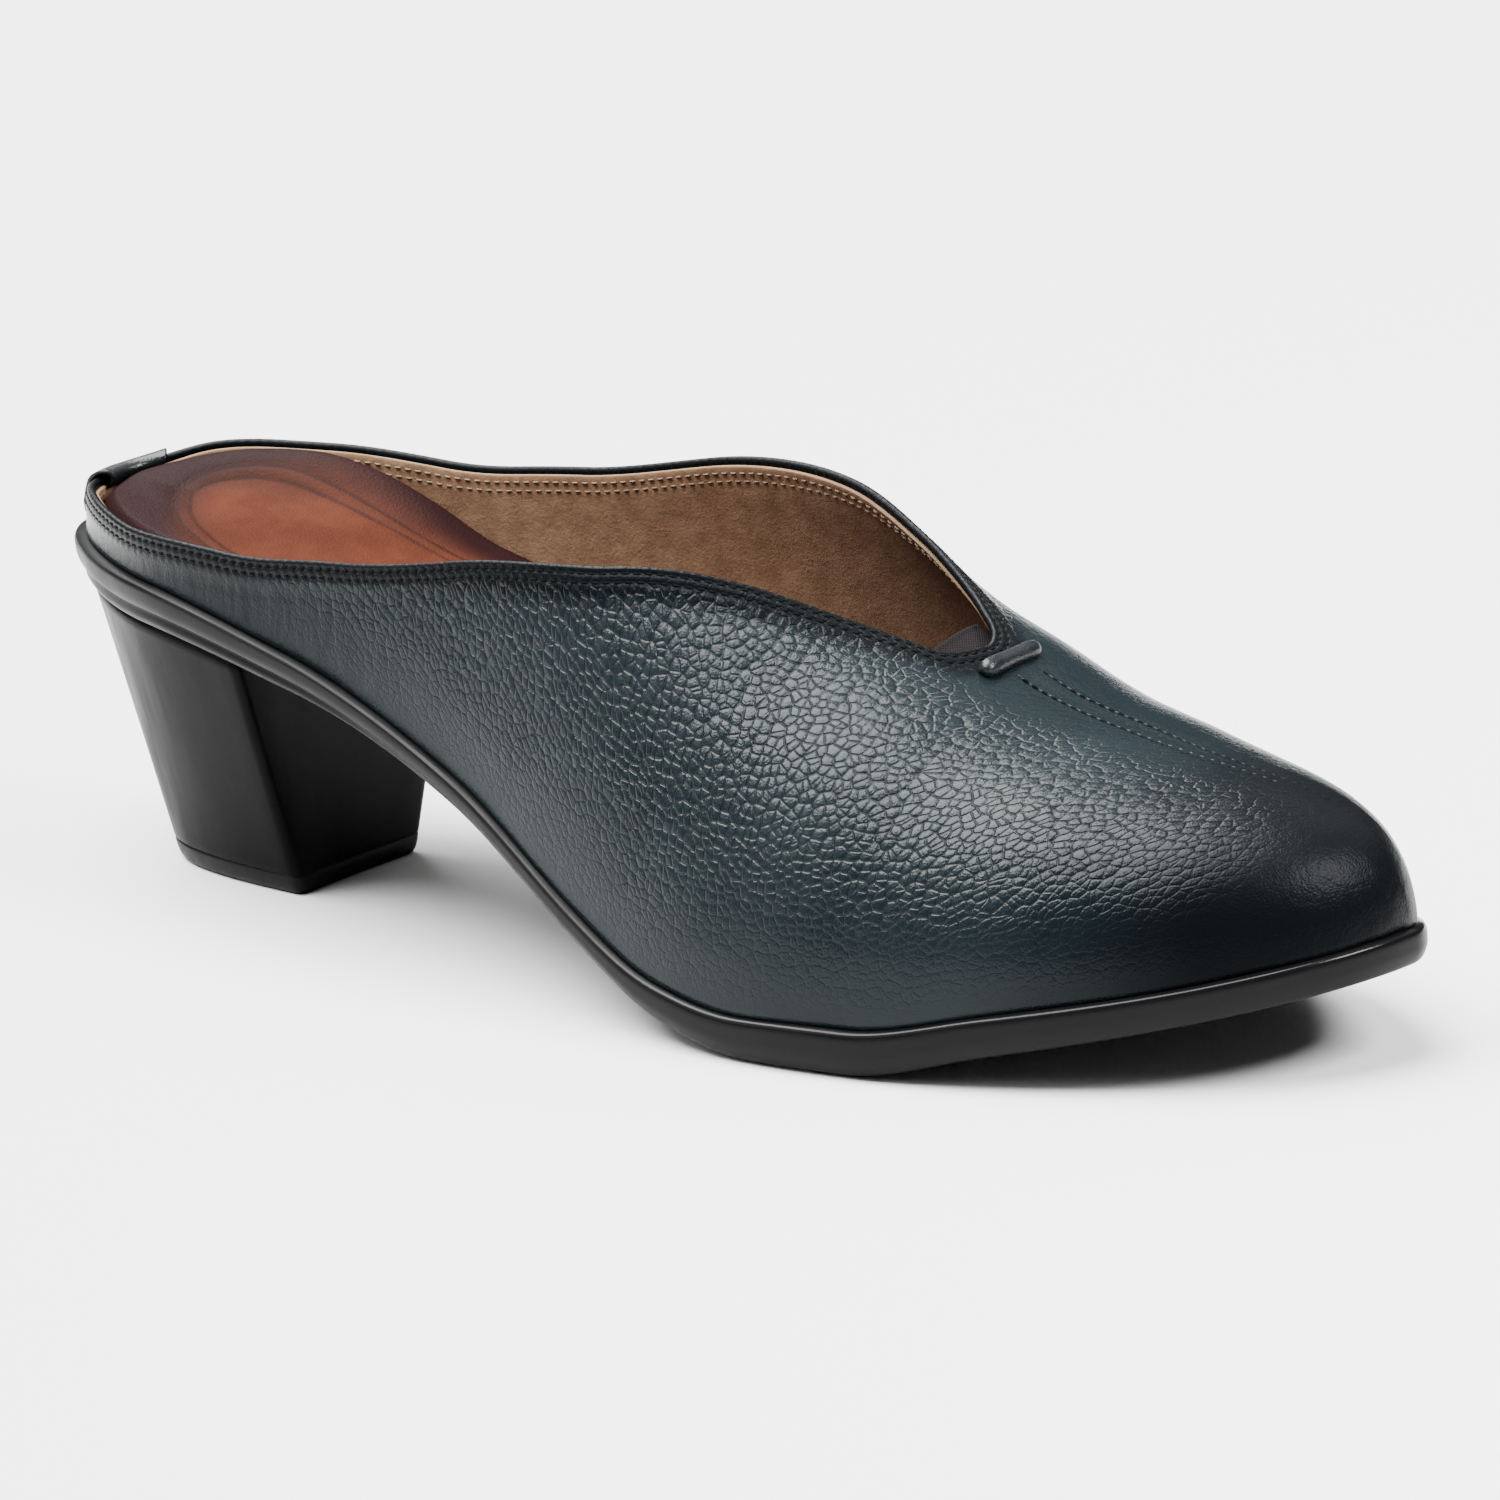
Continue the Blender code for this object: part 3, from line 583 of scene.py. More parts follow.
# %% Stitch marks and the leather piece
collar_count = round(COLLAR_LENGTH / MM / STITCH_PITCH)
ring_run = run_along(np.concatenate((skin, skin[:1])).transpose(1, 0, 2))
stitch_phase = with_fold((collar_count * ring_run[:, :-1] / ring_run[:, -1:]).T)
seam_along = np.linspace((THROAT + SEAM_START) / LENGTH, 0.9985, 500)
seam_run = run_along(last_point(turn_of(seam_along), 0.0))
seam_phase = np.interp(along_marks * MM / LENGTH, seam_along, seam_run / MM / STITCH_PITCH)
seam_end = np.where(side_marks < 0, SEAM_ENDS[-1], SEAM_ENDS[1]) * LENGTH / MM
on_seam = ((along_marks > (THROAT + SEAM_START) / MM) & (along_marks < seam_end)).astype(float)
leather_marks = {
    "edge_depth": depth_marks, "along_mm": along_marks, "stitch_phase": stitch_phase,
    "seam_phase": seam_phase, "on_seam": on_seam, "seam_beside": beside_marks, "seam_half": half_marks,
    "cell_x": cell_x, "cell_y": cell_y, "grain": grain, "burnish": burnish, "heel_creases": heel_creases,
}
upper_leather = grid_piece("upper_leather", leather_grid, leather_marks, ring_u=True, flip=True)

# %% [markdown]
# The lining. Inside the leather lies a second layer of tan suede. Its raw edge ends a little
# below the folded collar, so it shows as a thin pale line all round. It is its own piece, with
# the same columns as the leather but a fraction further in, and it runs down behind the sock.

# %% The lining
LINING_ROWS = (1.1, 1.5, 2.1, 2.8, 3.5, 4.2, 5.0, 6.0)
LINING_PLAIN_ROWS = 26
LINING_STITCH_ROWS = (2.1, 3.5)
LINING_EDGE = ((-1.02, 1.6), (-1.06, 1.02), (-1.34, 0.92), (-1.56, 0.98))
turn, across, depth = skin_rows(LINING_ROWS, LINING_PLAIN_ROWS)
sink = np.interp(depth / MM, (1.1, 2.1, 2.8, 3.5, 6.0), (1.62, 1.80, 1.74, 1.92, 2.0))
lining_inward = -last_normal(turn, across)
lining = last_point(turn, across) + MM * lining_inward * sink[..., None]
lining_depth = np.concatenate((np.full((len(lining), len(LINING_EDGE)), 0.95), depth / MM), axis=1)
lining_along = np.repeat(along_of(turn)[:, :1], len(LINING_EDGE), axis=1)
lining_along = np.concatenate((lining_along, along_of(turn)), axis=1) * LENGTH / MM
upper_lining = grid_piece("suede_lining", np.concatenate((edge_strip(LINING_EDGE), lining), axis=1),
                          {"edge_depth": lining_depth, "along_mm": lining_along}, ring_u=True)

# %% [markdown]
# The sock. The padded insole fills the shoe from edge to edge. Its height hangs on how far a
# place is from that edge: a soft roll at the rim, a bowl that cups the heel, a level middle.

# %% Outline of the sole and distances from it
def outline_at(turn, out):
    """Feather line in plan, moved out level by a distance; turn is negative on the outer side."""
    def on_line(angle):
        side = np.sign(angle)
        along = along_of(angle)
        width = np.where(angle < 0, outer_at(np.abs(angle)), inner_at(np.abs(angle)))
        return np.stack((along * LENGTH, drift_at(along) + side * np.maximum(width, 0)), axis=-1)

    turn, out = np.broadcast_arrays(np.asarray(turn, float), np.asarray(out, float))
    inside = np.clip(turn, -math.pi + 1e-3, math.pi - 1e-3)
    heading = unit(on_line(inside + 5e-4) - on_line(inside - 5e-4))
    aside = np.stack((-heading[..., 1], heading[..., 0]), axis=-1)
    at_tip = (np.abs(turn) > math.pi - 1e-3)[..., None]
    aside = np.where(at_tip, np.array((1.0, 0.0)), aside)
    return on_line(turn) + out[..., None] * aside


def distance_inside(places, line):
    """Shortest distance from places in plan to a closed line of points."""
    start, step = line, np.roll(line, -1, axis=0) - line
    best = np.full(places.shape[:-1], np.inf)
    for a, d in zip(start, step):
        share = np.clip(((places - a) @ d) / max(d @ d, 1e-18), 0, 1)
        best = np.minimum(best, np.linalg.norm(places - a - share[..., None] * d, axis=-1))
    return best


ball_line = outline_at(turn_of(0.66) * np.array((-1, 1)), 0)
print("width at the ball:", (np.ptp(ball_line[:, 1]) / MM).round(1), "mm")

# %% The pad of the sock
INSOLE = table(
    "along outer middle inner",
    (0.00, 1.00, 0.98, 1.00),
    (0.08, 1.00, 0.94, 1.60),
    (0.12, 1.02, 0.95, 1.70),
    (0.16, 1.04, 0.95, 1.55),
    (0.20, 1.05, 0.92, 1.18),
    (0.25, 1.00, 0.78, 0.58),
    (0.32, 0.90, 0.64, 0.44),
    (0.45, 0.62, 0.50, 0.40),
    (0.70, 0.42, 0.40, 0.38),
    (1.00, 0.32, 0.32, 0.32),
)
insole_at = {name: level_curve(INSOLE["along"], INSOLE_PAD * INSOLE[name])
             for name in ("outer", "middle", "inner")}
SOCK_STATIONS = 150
SOCK_COLUMNS = 72
SOCK_ROLL = 2.1
SOCK_BOWL = 11.0
SOCK_FOOT = 0.3 * MM
sock_line = outline_at(np.linspace(-math.pi, math.pi, 361)[:-1], -INSOLE_INSET)
stations = np.linspace(0, math.pi, SOCK_STATIONS)
shares = -np.cos(np.linspace(0, math.pi, SOCK_COLUMNS))
left, right = outline_at(-stations, -INSOLE_INSET), outline_at(stations, -INSOLE_INSET)
plan = left[:, None] + (right - left)[:, None] * ((1 + shares) / 2)[None, :, None]
inset = distance_inside(plan, sock_line) / MM
sock_along = np.clip(plan[..., 0] / LENGTH, 0, 1)
inner_share = ease(shares, -0.5, 0.5)
edge_pad = (1 - inner_share) * insole_at["outer"](sock_along) + inner_share * insole_at["inner"](sock_along)
pad = edge_pad + (insole_at["middle"](sock_along) - edge_pad) * ease(inset, SOCK_ROLL, SOCK_ROLL + SOCK_BOWL)
roll = 0.62 + 0.38 * np.sin(np.clip(inset / SOCK_ROLL, 0, 1) * math.pi / 2)
print("pad of the sock:", (1000 * pad.min()).round(1), "to", (1000 * pad.max()).round(1), "mm")

# %% [markdown]
# The pressed lines. A long oval round the heel is pressed into the sock with two lines and a
# low pillow between them. A table gives the oval, places are measured from its outline, and
# the lines fade out before the ball.

# %% The pressed oval and the sock
SOCK_GROOVES = (0.0, 2.3)
GROOVE_DEPTH, GROOVE_WIDTH = 0.34, 0.55
PILLOW_RISE, PILLOW_WIDTH = 0.16, 0.8
OVAL = table(
    "from_heel outer inner",
    (15.6, 2.2, 2.2),
    (19.6, -4.6, 8.4),
    (25.0, -10.0, 11.2),
    (33.0, -15.4, 12.8),
    (42.0, -18.9, 13.4),
    (55.0, -20.3, 13.8),
    (70.0, -20.6, 15.0),
    (95.0, -20.0, 19.0),
    (125.0, -24.0, 20.5),
    (160.0, -30.0, 20.0),
)
plan_x, plan_y = plan[..., 0] / MM, plan[..., 1] / MM
oval_start, oval_reach = OVAL["from_heel"][0], np.ptp(OVAL["from_heel"])
oval_knots = np.sqrt((OVAL["from_heel"] - oval_start) / oval_reach)
fine = np.linspace(0, 1, 90)
oval_x = oval_start + oval_reach * fine ** 2
oval_outer, oval_inner = (level_curve(oval_knots, OVAL[name])(fine) for name in ("outer", "inner"))
oval_line = MM * np.column_stack((np.append(oval_x, oval_x[:0:-1]), np.append(oval_outer, oval_inner[:0:-1])))
oval_share = np.sqrt(np.clip((plan_x - oval_start) / oval_reach, 0, 1))
in_oval = ((plan_x > oval_start) & (plan_y > np.interp(oval_share, fine, oval_outer))
           & (plan_y < np.interp(oval_share, fine, oval_inner)))
end_inset = np.where(in_oval, 1, -1) * distance_inside(plan, oval_line) / MM
shown = 1 - ease(plan_x, 125, 150)
groove = shown * sum(np.exp(-((end_inset - line) / GROOVE_WIDTH) ** 2) for line in SOCK_GROOVES)
pillow = shown * np.exp(-((end_inset - sum(SOCK_GROOVES) / 2) / PILLOW_WIDTH) ** 2)
rise = pad * roll + MM * (PILLOW_RISE * pillow - GROOVE_DEPTH * groove)
sock_height = feather_height(sock_along) + rise
sock_top = np.stack((plan[..., 0] + back_shift(sock_along, rise), plan[..., 1], sock_height), axis=-1)
foot = sock_top[:, [0, -1]].copy()
foot[..., 2] = feather_height(sock_along[:, [0, -1]]) + SOCK_FOOT
sock_grid = np.concatenate((foot[:, :1], sock_top, foot[:, 1:]), axis=1) + shoe_place


def edged(values):
    return np.concatenate((values[:, :1], values, values[:, -1:]), axis=1)


sock_marks = {"inset": edged(end_inset), "along_mm": edged(sock_along * LENGTH / MM)}
padded_sock = grid_piece("padded_sock", sock_grid, sock_marks, ring_v=True)
weld(padded_sock)

# %% [markdown]
# The sole. It is one moulded unit: rounded at the rim, with a narrow flat lip beside the upper,
# a bulge at the heel and a flat underside. Lofting one profile round the outline makes it, and
# the profile changes slowly from the heel to the forefoot.

# %% The sole
RIM = table(
    "heel_out heel_up fore_out fore_up",
    (0.94, 1.00, 0.10, 1.00),
    (1.10, 0.90, 0.56, 0.94),
    (1.02, 0.68, 0.74, 0.76),
    (0.72, 0.46, 0.74, 0.52),
    (0.16, 0.34, 0.50, 0.26),
    (0.26, 0.16, 0.04, 0.08),
    (-0.04, 0.00, -1.10, 0.00),
)
RIM_CHANGE = (0.22, 0.50)
SOLE_STATIONS = 220
SOLE_TUCK = 0.3 * MM
BOTTOM_SHARES = (0.12, 0.35, 0.65, 0.88)
PROFILE_STEPS = 25
knots = np.arange(len(RIM["heel_out"]))
steps = np.linspace(0, knots[-1], PROFILE_STEPS)
rim = {name: level_curve(knots, values)(steps) for name, values in RIM.items()}
stations = np.linspace(0, math.pi, SOLE_STATIONS)
along = along_of(stations)[:, None]
fore = ease(along, *RIM_CHANGE)
outs = WELT * ((1 - fore) * rim["heel_out"] + fore * rim["fore_out"])
ups = (1 - fore) * rim["heel_up"] + fore * rim["fore_up"]
low, high = under_height(along), feather_height(along) - SOLE_TUCK
heights = low + ups * (high - low)
outs = np.concatenate((np.full_like(along, -3 * MM), np.full_like(along, -0.4 * MM), outs), axis=1)
heights = np.concatenate((high, high, heights), axis=1)


def sole_side(side):
    plan = outline_at(side * stations[:, None], outs)
    return np.concatenate((plan, heights[..., None]), axis=-1)


outer_rim, inner_rim = sole_side(-1), sole_side(1)
bottom = [outer_rim[:, -1] + (inner_rim[:, -1] - outer_rim[:, -1]) * share for share in BOTTOM_SHARES]
sole_grid = np.concatenate((outer_rim, np.stack(bottom, axis=1), inner_rim[:, ::-1]), axis=1) + shoe_place
half_lip = 1 - ease(np.arange(outer_rim.shape[1]), 6, 10)
lip = np.concatenate((half_lip, np.zeros(len(bottom)), half_lip[::-1])) * ease(along, 0.50, 0.64)
moulded_sole = grid_piece("moulded_sole", sole_grid, {"lip": lip}, ring_v=True)
weld(moulded_sole)

# %% [markdown]
# The heel. A block heel is turned or moulded as one tapering piece, covered or lacquered, with
# a rubber top piece nailed under it. Both follow straight lines from the outline of the seat
# down to a smaller D on the floor, with a flat breast at the front.

# %% Heel rings
HEEL_BREAST = 0.0506
HEEL_BASE_BACK = 0.0170
HEEL_BASE_HALF = 0.0137
HEEL_INSET = 0.0006
TOP_PIECE = 0.0034
HEEL_STEPS = 72
CORNER = 1.8 * MM
TREAD_GAP, FOOT_DRAW = 0.06 * MM, 0.10 * MM


def round_corner(before, corner, after, count=6):
    """Curve of points in place of a corner."""
    start = corner + unit(before - corner) * CORNER
    end = corner + unit(after - corner) * CORNER
    share = np.linspace(0, 1, count)[:, None]
    return (1 - share) ** 2 * start + 2 * share * (1 - share) * corner + share ** 2 * end


def heel_ring(level):
    """Closed ring of the heel; level runs from 0 at the floor to 1 under the sole."""
    breast_turn = turn_of(HEEL_BREAST / LENGTH)
    turns = np.linspace(-breast_turn, breast_turn, HEEL_STEPS + 1)
    along = along_of(turns)
    seat = np.column_stack((outline_at(turns, -HEEL_INSET), under_height(along) - SOLE_TUCK))
    share = along * LENGTH / HEEL_BREAST
    half = HEEL_BASE_HALF * (1 - (1 - share) ** 3) ** (1 / 3)
    base_x = HEEL_BASE_BACK + share * (HEEL_BREAST - HEEL_BASE_BACK)
    base = np.column_stack((base_x, np.sign(turns) * half, np.zeros_like(share)))
    ring = base + (seat - base) * level
    keep = [i for i in range(len(ring)) if min(np.linalg.norm(ring[i] - ring[0]),
                                               np.linalg.norm(ring[i] - ring[-1])) > 1.6 * CORNER]
    first = round_corner(ring[-1], ring[0], ring[keep[0]])
    last = round_corner(ring[keep[-1]], ring[-1], ring[0])
    evenly = np.linspace(0, 1, HEEL_STEPS)
    arc = ring[keep]
    run = run_along(arc)
    arc = np.stack([np.interp(evenly * run[-1], run, arc[:, i]) for i in range(3)], axis=1)
    breast = first[0] + (last[-1] - first[0]) * np.linspace(1, 0, 10)[1:-1, None]
    return np.concatenate((first, arc, last, breast)) + shoe_place


def level_for(height):
    return height / (SEAT_HEIGHT - SOLE_TUCK)


def shrunk(ring, distance):
    middle = ring.mean(axis=0)
    spokes = (ring - middle) * np.array((1, 1, 0))
    return ring - unit(spokes) * distance


print("width of the heel at its top and foot:",
      [round(1000 * float(np.ptp(heel_ring(level)[:, 1])), 1) for level in (1, 0)], "mm")

# %% [markdown]
# The block and the rubber below it are lofts through rings of the same taper at set levels. The
# block stops a hair above the rubber and both are drawn in a little where they meet, so that a
# fine line parts the two as on the shoe.

# %% The heel block and its top piece
low = level_for(TOP_PIECE + TREAD_GAP)
block_levels = np.concatenate(([low, low + 0.008], np.linspace(low + 0.03, 1, 18)))
block_rings = [heel_ring(level) for level in block_levels]
block_rings[0] = shrunk(block_rings[0], FOOT_DRAW)
heel = grid_piece("stacked_heel", np.stack(block_rings), ring_v=True, caps="flat")
weld(heel)
tread_levels = ((0.0, 0.9), (0.3, 0.4), (0.8, 0.12), (1.3, 0.0), (2.2, -0.08), (3.0, -0.05),
                (3.3, 0.05), (3.4, 0.2))
tread_rings = [shrunk(heel_ring(level_for(height * MM)), draw * MM) for height, draw in tread_levels]
for ring, (height, _) in zip(tread_rings, tread_levels):
    ring[:, 2] = height * MM
top_piece = grid_piece("rubber_top_piece", np.stack(tread_rings), ring_v=True, caps="flat")
weld(top_piece)

# %% [markdown]
# The throat. Behind the V sits a small elastic gusset that lets the instep open a little. Below
# it a rolled leather bar is stitched across the seam, so that the V cannot tear.

# %% The gusset
GUSSET_DEPTH = 6.2 * MM
GUSSET_TUCK = 9.0 * MM
GUSSET_HALF = 9.0 * MM
GUSSET_SHEET = 1.1 * MM
GUSSET_SINK = 3.0 * MM
GUSSET_ROWS, GUSSET_COLUMNS = 44, 56
RIB_RISE, RIB_PITCH = 0.07 * MM, 0.42 * MM
GUSSET_SKEW = 1.5 * MM


def beside_ridge(along, distance):
    """Place and normal of the skin at a level distance beside the ridge."""
    turn, across = turn_of(along), across_for(along, distance)
    return last_point(turn, across), last_normal(turn, across)


cols = np.linspace(-GUSSET_HALF, GUSSET_HALF, GUSSET_COLUMNS)[None]
top_edge = THROAT - GUSSET_DEPTH - GUSSET_SKEW * cols / GUSSET_HALF
rows = (top_edge + (THROAT + GUSSET_TUCK - top_edge) * np.linspace(0, 1, GUSSET_ROWS)[:, None]) / LENGTH
rows, cols = np.broadcast_arrays(rows, cols)
place, normal = beside_ridge(rows, cols)
near_edge = 1 - ease((rows * LENGTH - top_edge) / MM, 0, 0.9)
ribs = RIB_RISE * np.sin(cols / RIB_PITCH) * (1 - near_edge)
hem = MM * near_edge * (1 - near_edge)
top = place - normal * (GUSSET_SINK - ribs - hem)[..., None]
under = place - normal * (GUSSET_SINK + GUSSET_SHEET)
sheet = np.concatenate((top, under[::-1]), axis=0)
gusset_marks = {name: np.concatenate((values, values[::-1])) / MM
                for name, values in (("across_mm", cols), ("from_edge", rows * LENGTH - top_edge))}
elastic_gusset = grid_piece("elastic_gusset", sheet, gusset_marks, ring_u=True)

# %% [markdown]
# The bar. It is a soft roll with blunt ends, a little thinner in the middle where the thread
# pulls it down. Rings round a line across the ridge make it; the line slants by a fraction.

# %% The bar
BAR_SETBACK = 4.0 * MM
BAR_LENGTH = 13.8 * MM
BAR_WIDTH = 3.4 * MM
BAR_RISE, BAR_LIFT = 1.65 * MM, 0.45 * MM
BAR_RINGS, BAR_SIDES = 61, 28
BAR_SKEW = -0.7 * MM
step = np.sin(np.linspace(-1, 1, BAR_RINGS) * math.pi / 2)[:, None]
angle = np.linspace(0, 2 * math.pi, BAR_SIDES + 1)[None, :-1]
bar_along = (THROAT + BAR_SETBACK + step * BAR_SKEW / 2) / LENGTH
place, normal = beside_ridge(bar_along, step * BAR_LENGTH / 2)
forward = unit(np.array((1.0, 0, 0)) - normal * normal[..., :1])
full = np.sqrt(np.clip(1 - np.abs(step) ** 9.0, 0, 1))
full = np.maximum(full, 0.05) * (1 - 0.14 * np.exp(-((step - 0.15) / 0.6) ** 2))
sideways = np.cos(angle) * BAR_WIDTH / 2 * full
lift = BAR_LIFT + np.maximum(np.sin(angle), -0.55) * BAR_RISE * full
bar_grid = place + forward * sideways[..., None] + normal * lift[..., None]
throat_loop = grid_piece("throat_loop", bar_grid, ring_v=True, caps="flat")
weld(throat_loop)

# %% [markdown]
# The tab. At the heel back a narrow leather strap is folded over the collar. It hides the ends
# of the edge stitching. It is one bent sheet, a little rounder than the solid below it.

# %% The back tab
TAB_WIDTH = 12.6 * MM
TAB_SHIFT = 2.0 * MM
TAB_SHEET = 0.8 * MM
TAB_OUTER = 5.8 * MM
TAB_INNER = 1.4 * MM
face = 0.80 * MM
lining_face = -WALL - 0.3 * MM
crown = 0.4 * MM
outer_path = [(face, -TAB_OUTER), (face, -4.0 * MM), (face, -2.2 * MM), (face, -1.0 * MM)]
turn_over = [(0.5 * (face + lining_face) + 0.5 * (face - lining_face) * math.cos(a),
              crown - 0.9 * MM + 1.0 * MM * math.sin(a)) for a in np.linspace(0.1, math.pi - 0.1, 13)]
inner_path = [(lining_face, -0.9 * MM), (lining_face, -TAB_INNER)]
path = np.array(outer_path + turn_over + inner_path)
heading = unit(np.gradient(path, axis=0))
outward = np.stack((heading[:, 1], -heading[:, 0]), axis=1)
thin = np.interp(np.arange(len(path)), (0, 1, len(path) - 2, len(path) - 1), (0.6, 1, 1, 0.6))[:, None]
loop = np.concatenate((path + outward * TAB_SHEET * thin, (path + outward * 0.02 * MM)[::-1]))
tab_turns = np.linspace(-0.9, 0.9, 400)
widths = outline_at(tab_turns, 0)[:, 1]
ends = np.interp((TAB_SHIFT - TAB_WIDTH / 2, TAB_SHIFT + TAB_WIDTH / 2), widths, tab_turns)
tab_turns = np.linspace(*ends, 37)
rings = []
for turn in tab_turns:
    side = -1 if turn < 0 else 1
    edge = last_point(abs(turn), collar_across(abs(turn), side)) - shoe_place
    along = along_of(turn)
    rise = edge[2] - feather_height(along) + loop[:, 1]
    plan = outline_at(np.full(len(loop), turn), loop[:, 0])
    x = plan[:, 0] + back_shift(along, rise)
    rings.append(np.column_stack((x, plan[:, 1], feather_height(along) + rise)))
tab_grid = np.stack(rings) + shoe_place
heel_tab = grid_piece("heel_tab", tab_grid, ring_v=True, caps="folded")
weld(heel_tab)

# %% [markdown]
# The stitches. Each one is a short thread that dips into the leather at both ends. They could
# be a repeated object on a curve, but building them straight from the grid rows keeps them in
# the dips of the relief, and their holes in the leather finish use the same count and phase.

# %% Stitch helper
THREAD_PROFILE = ((-0.5, -0.75), (-0.38, -0.05), (-0.18, 0.42), (0.18, 0.42), (0.38, -0.05), (0.5, -0.75))
THREAD_SIDES = 6
THREAD_WIDTH = 0.17 * MM


def thread_piece(name, rows, length, radius):
    """Stitches as one mesh; a row has a line, its normals, its phase and the stitches' middles.

    The phase counts the stitches from the start of the line; length is in stitches.
    """
    points, faces = [], []
    angles = np.linspace(0, 2 * math.pi, THREAD_SIDES + 1)[:-1]
    for line, normals, phase, middles in rows:
        def read(values, at):
            return np.array([np.interp(at, phase, values[:, i]) for i in range(3)])

        for middle in middles:
            starts = []
            for share, rise in THREAD_PROFILE:
                at = middle + share * length
                place, out = read(line, at), unit(read(normals, at))
                aside = unit(np.cross(out, unit(read(line, at + 0.02) - place)))
                centre = place + out * rise * radius
                full = radius * (0.8 if abs(share) > 0.45 else 1.0)
                starts.append(len(points))
                points.extend(centre + full * (math.cos(a) * aside + math.sin(a) * out) for a in angles)
            for a, b in zip(starts, starts[1:]):
                faces.extend((a + k, a + (k + 1) % THREAD_SIDES, b + (k + 1) % THREAD_SIDES, b + k)
                             for k in range(THREAD_SIDES))
            faces.append([starts[0] + k for k in reversed(range(THREAD_SIDES))])
            faces.append([starts[-1] + k for k in range(THREAD_SIDES)])
    return new_piece(name, points, faces)


# %% Stitches round the collar
def ring_rows(grid, normals, columns):
    """Rows of stitches all the way round, along some columns of a grid."""
    for column in columns:
        line, out = (np.concatenate((values[:, column], values[:1, column])) for values in (grid, normals))
        run = run_along(line)
        yield line, out, collar_count * run / run[-1], np.arange(2, collar_count - 2) + 0.5


print("stitches in a row round the collar:", collar_count)
columns = [EDGE_ROWS.index(depth_mm) for depth_mm in STITCH_ROWS]
collar_stitches = thread_piece("collar_stitches", ring_rows(skin, normals, columns), 0.62, THREAD_WIDTH)
columns = [LINING_ROWS.index(depth_mm) for depth_mm in LINING_STITCH_ROWS]
rings = ring_rows(lining, lining_inward, columns)
lining_stitches = thread_piece("lining_stitches", rings, 0.60, THREAD_WIDTH)

# %% [markdown]
# The seam of the vamp. Two rows run from the bar to the toe, closer together as they go, and
# end short of the tip, the outer row first. Their thread lies a little deeper.

# %% Stitches of the vamp seam
seam_rows = []
for side, end in SEAM_ENDS.items():
    place, normal = beside_ridge(seam_along, seam_middle(seam_along) + side * seam_half(seam_along))
    phase = seam_run / MM / STITCH_PITCH
    middles = np.arange(1, int(np.interp(end, seam_along, phase))) - 0.5
    seam_rows.append((place - normal * 0.10 * MM, normal, phase, middles))
seam_stitches = thread_piece("seam_stitches", seam_rows, 0.60, 0.20 * MM)

# %% [markdown]
# The finishes. Each material is a small network of nodes on one Principled shader. Grain, nap
# and creases come from 3-D noise in the object's own space, so they need no unwrapping and no
# pictures. The marks stored on the meshes tell each finish where it changes.

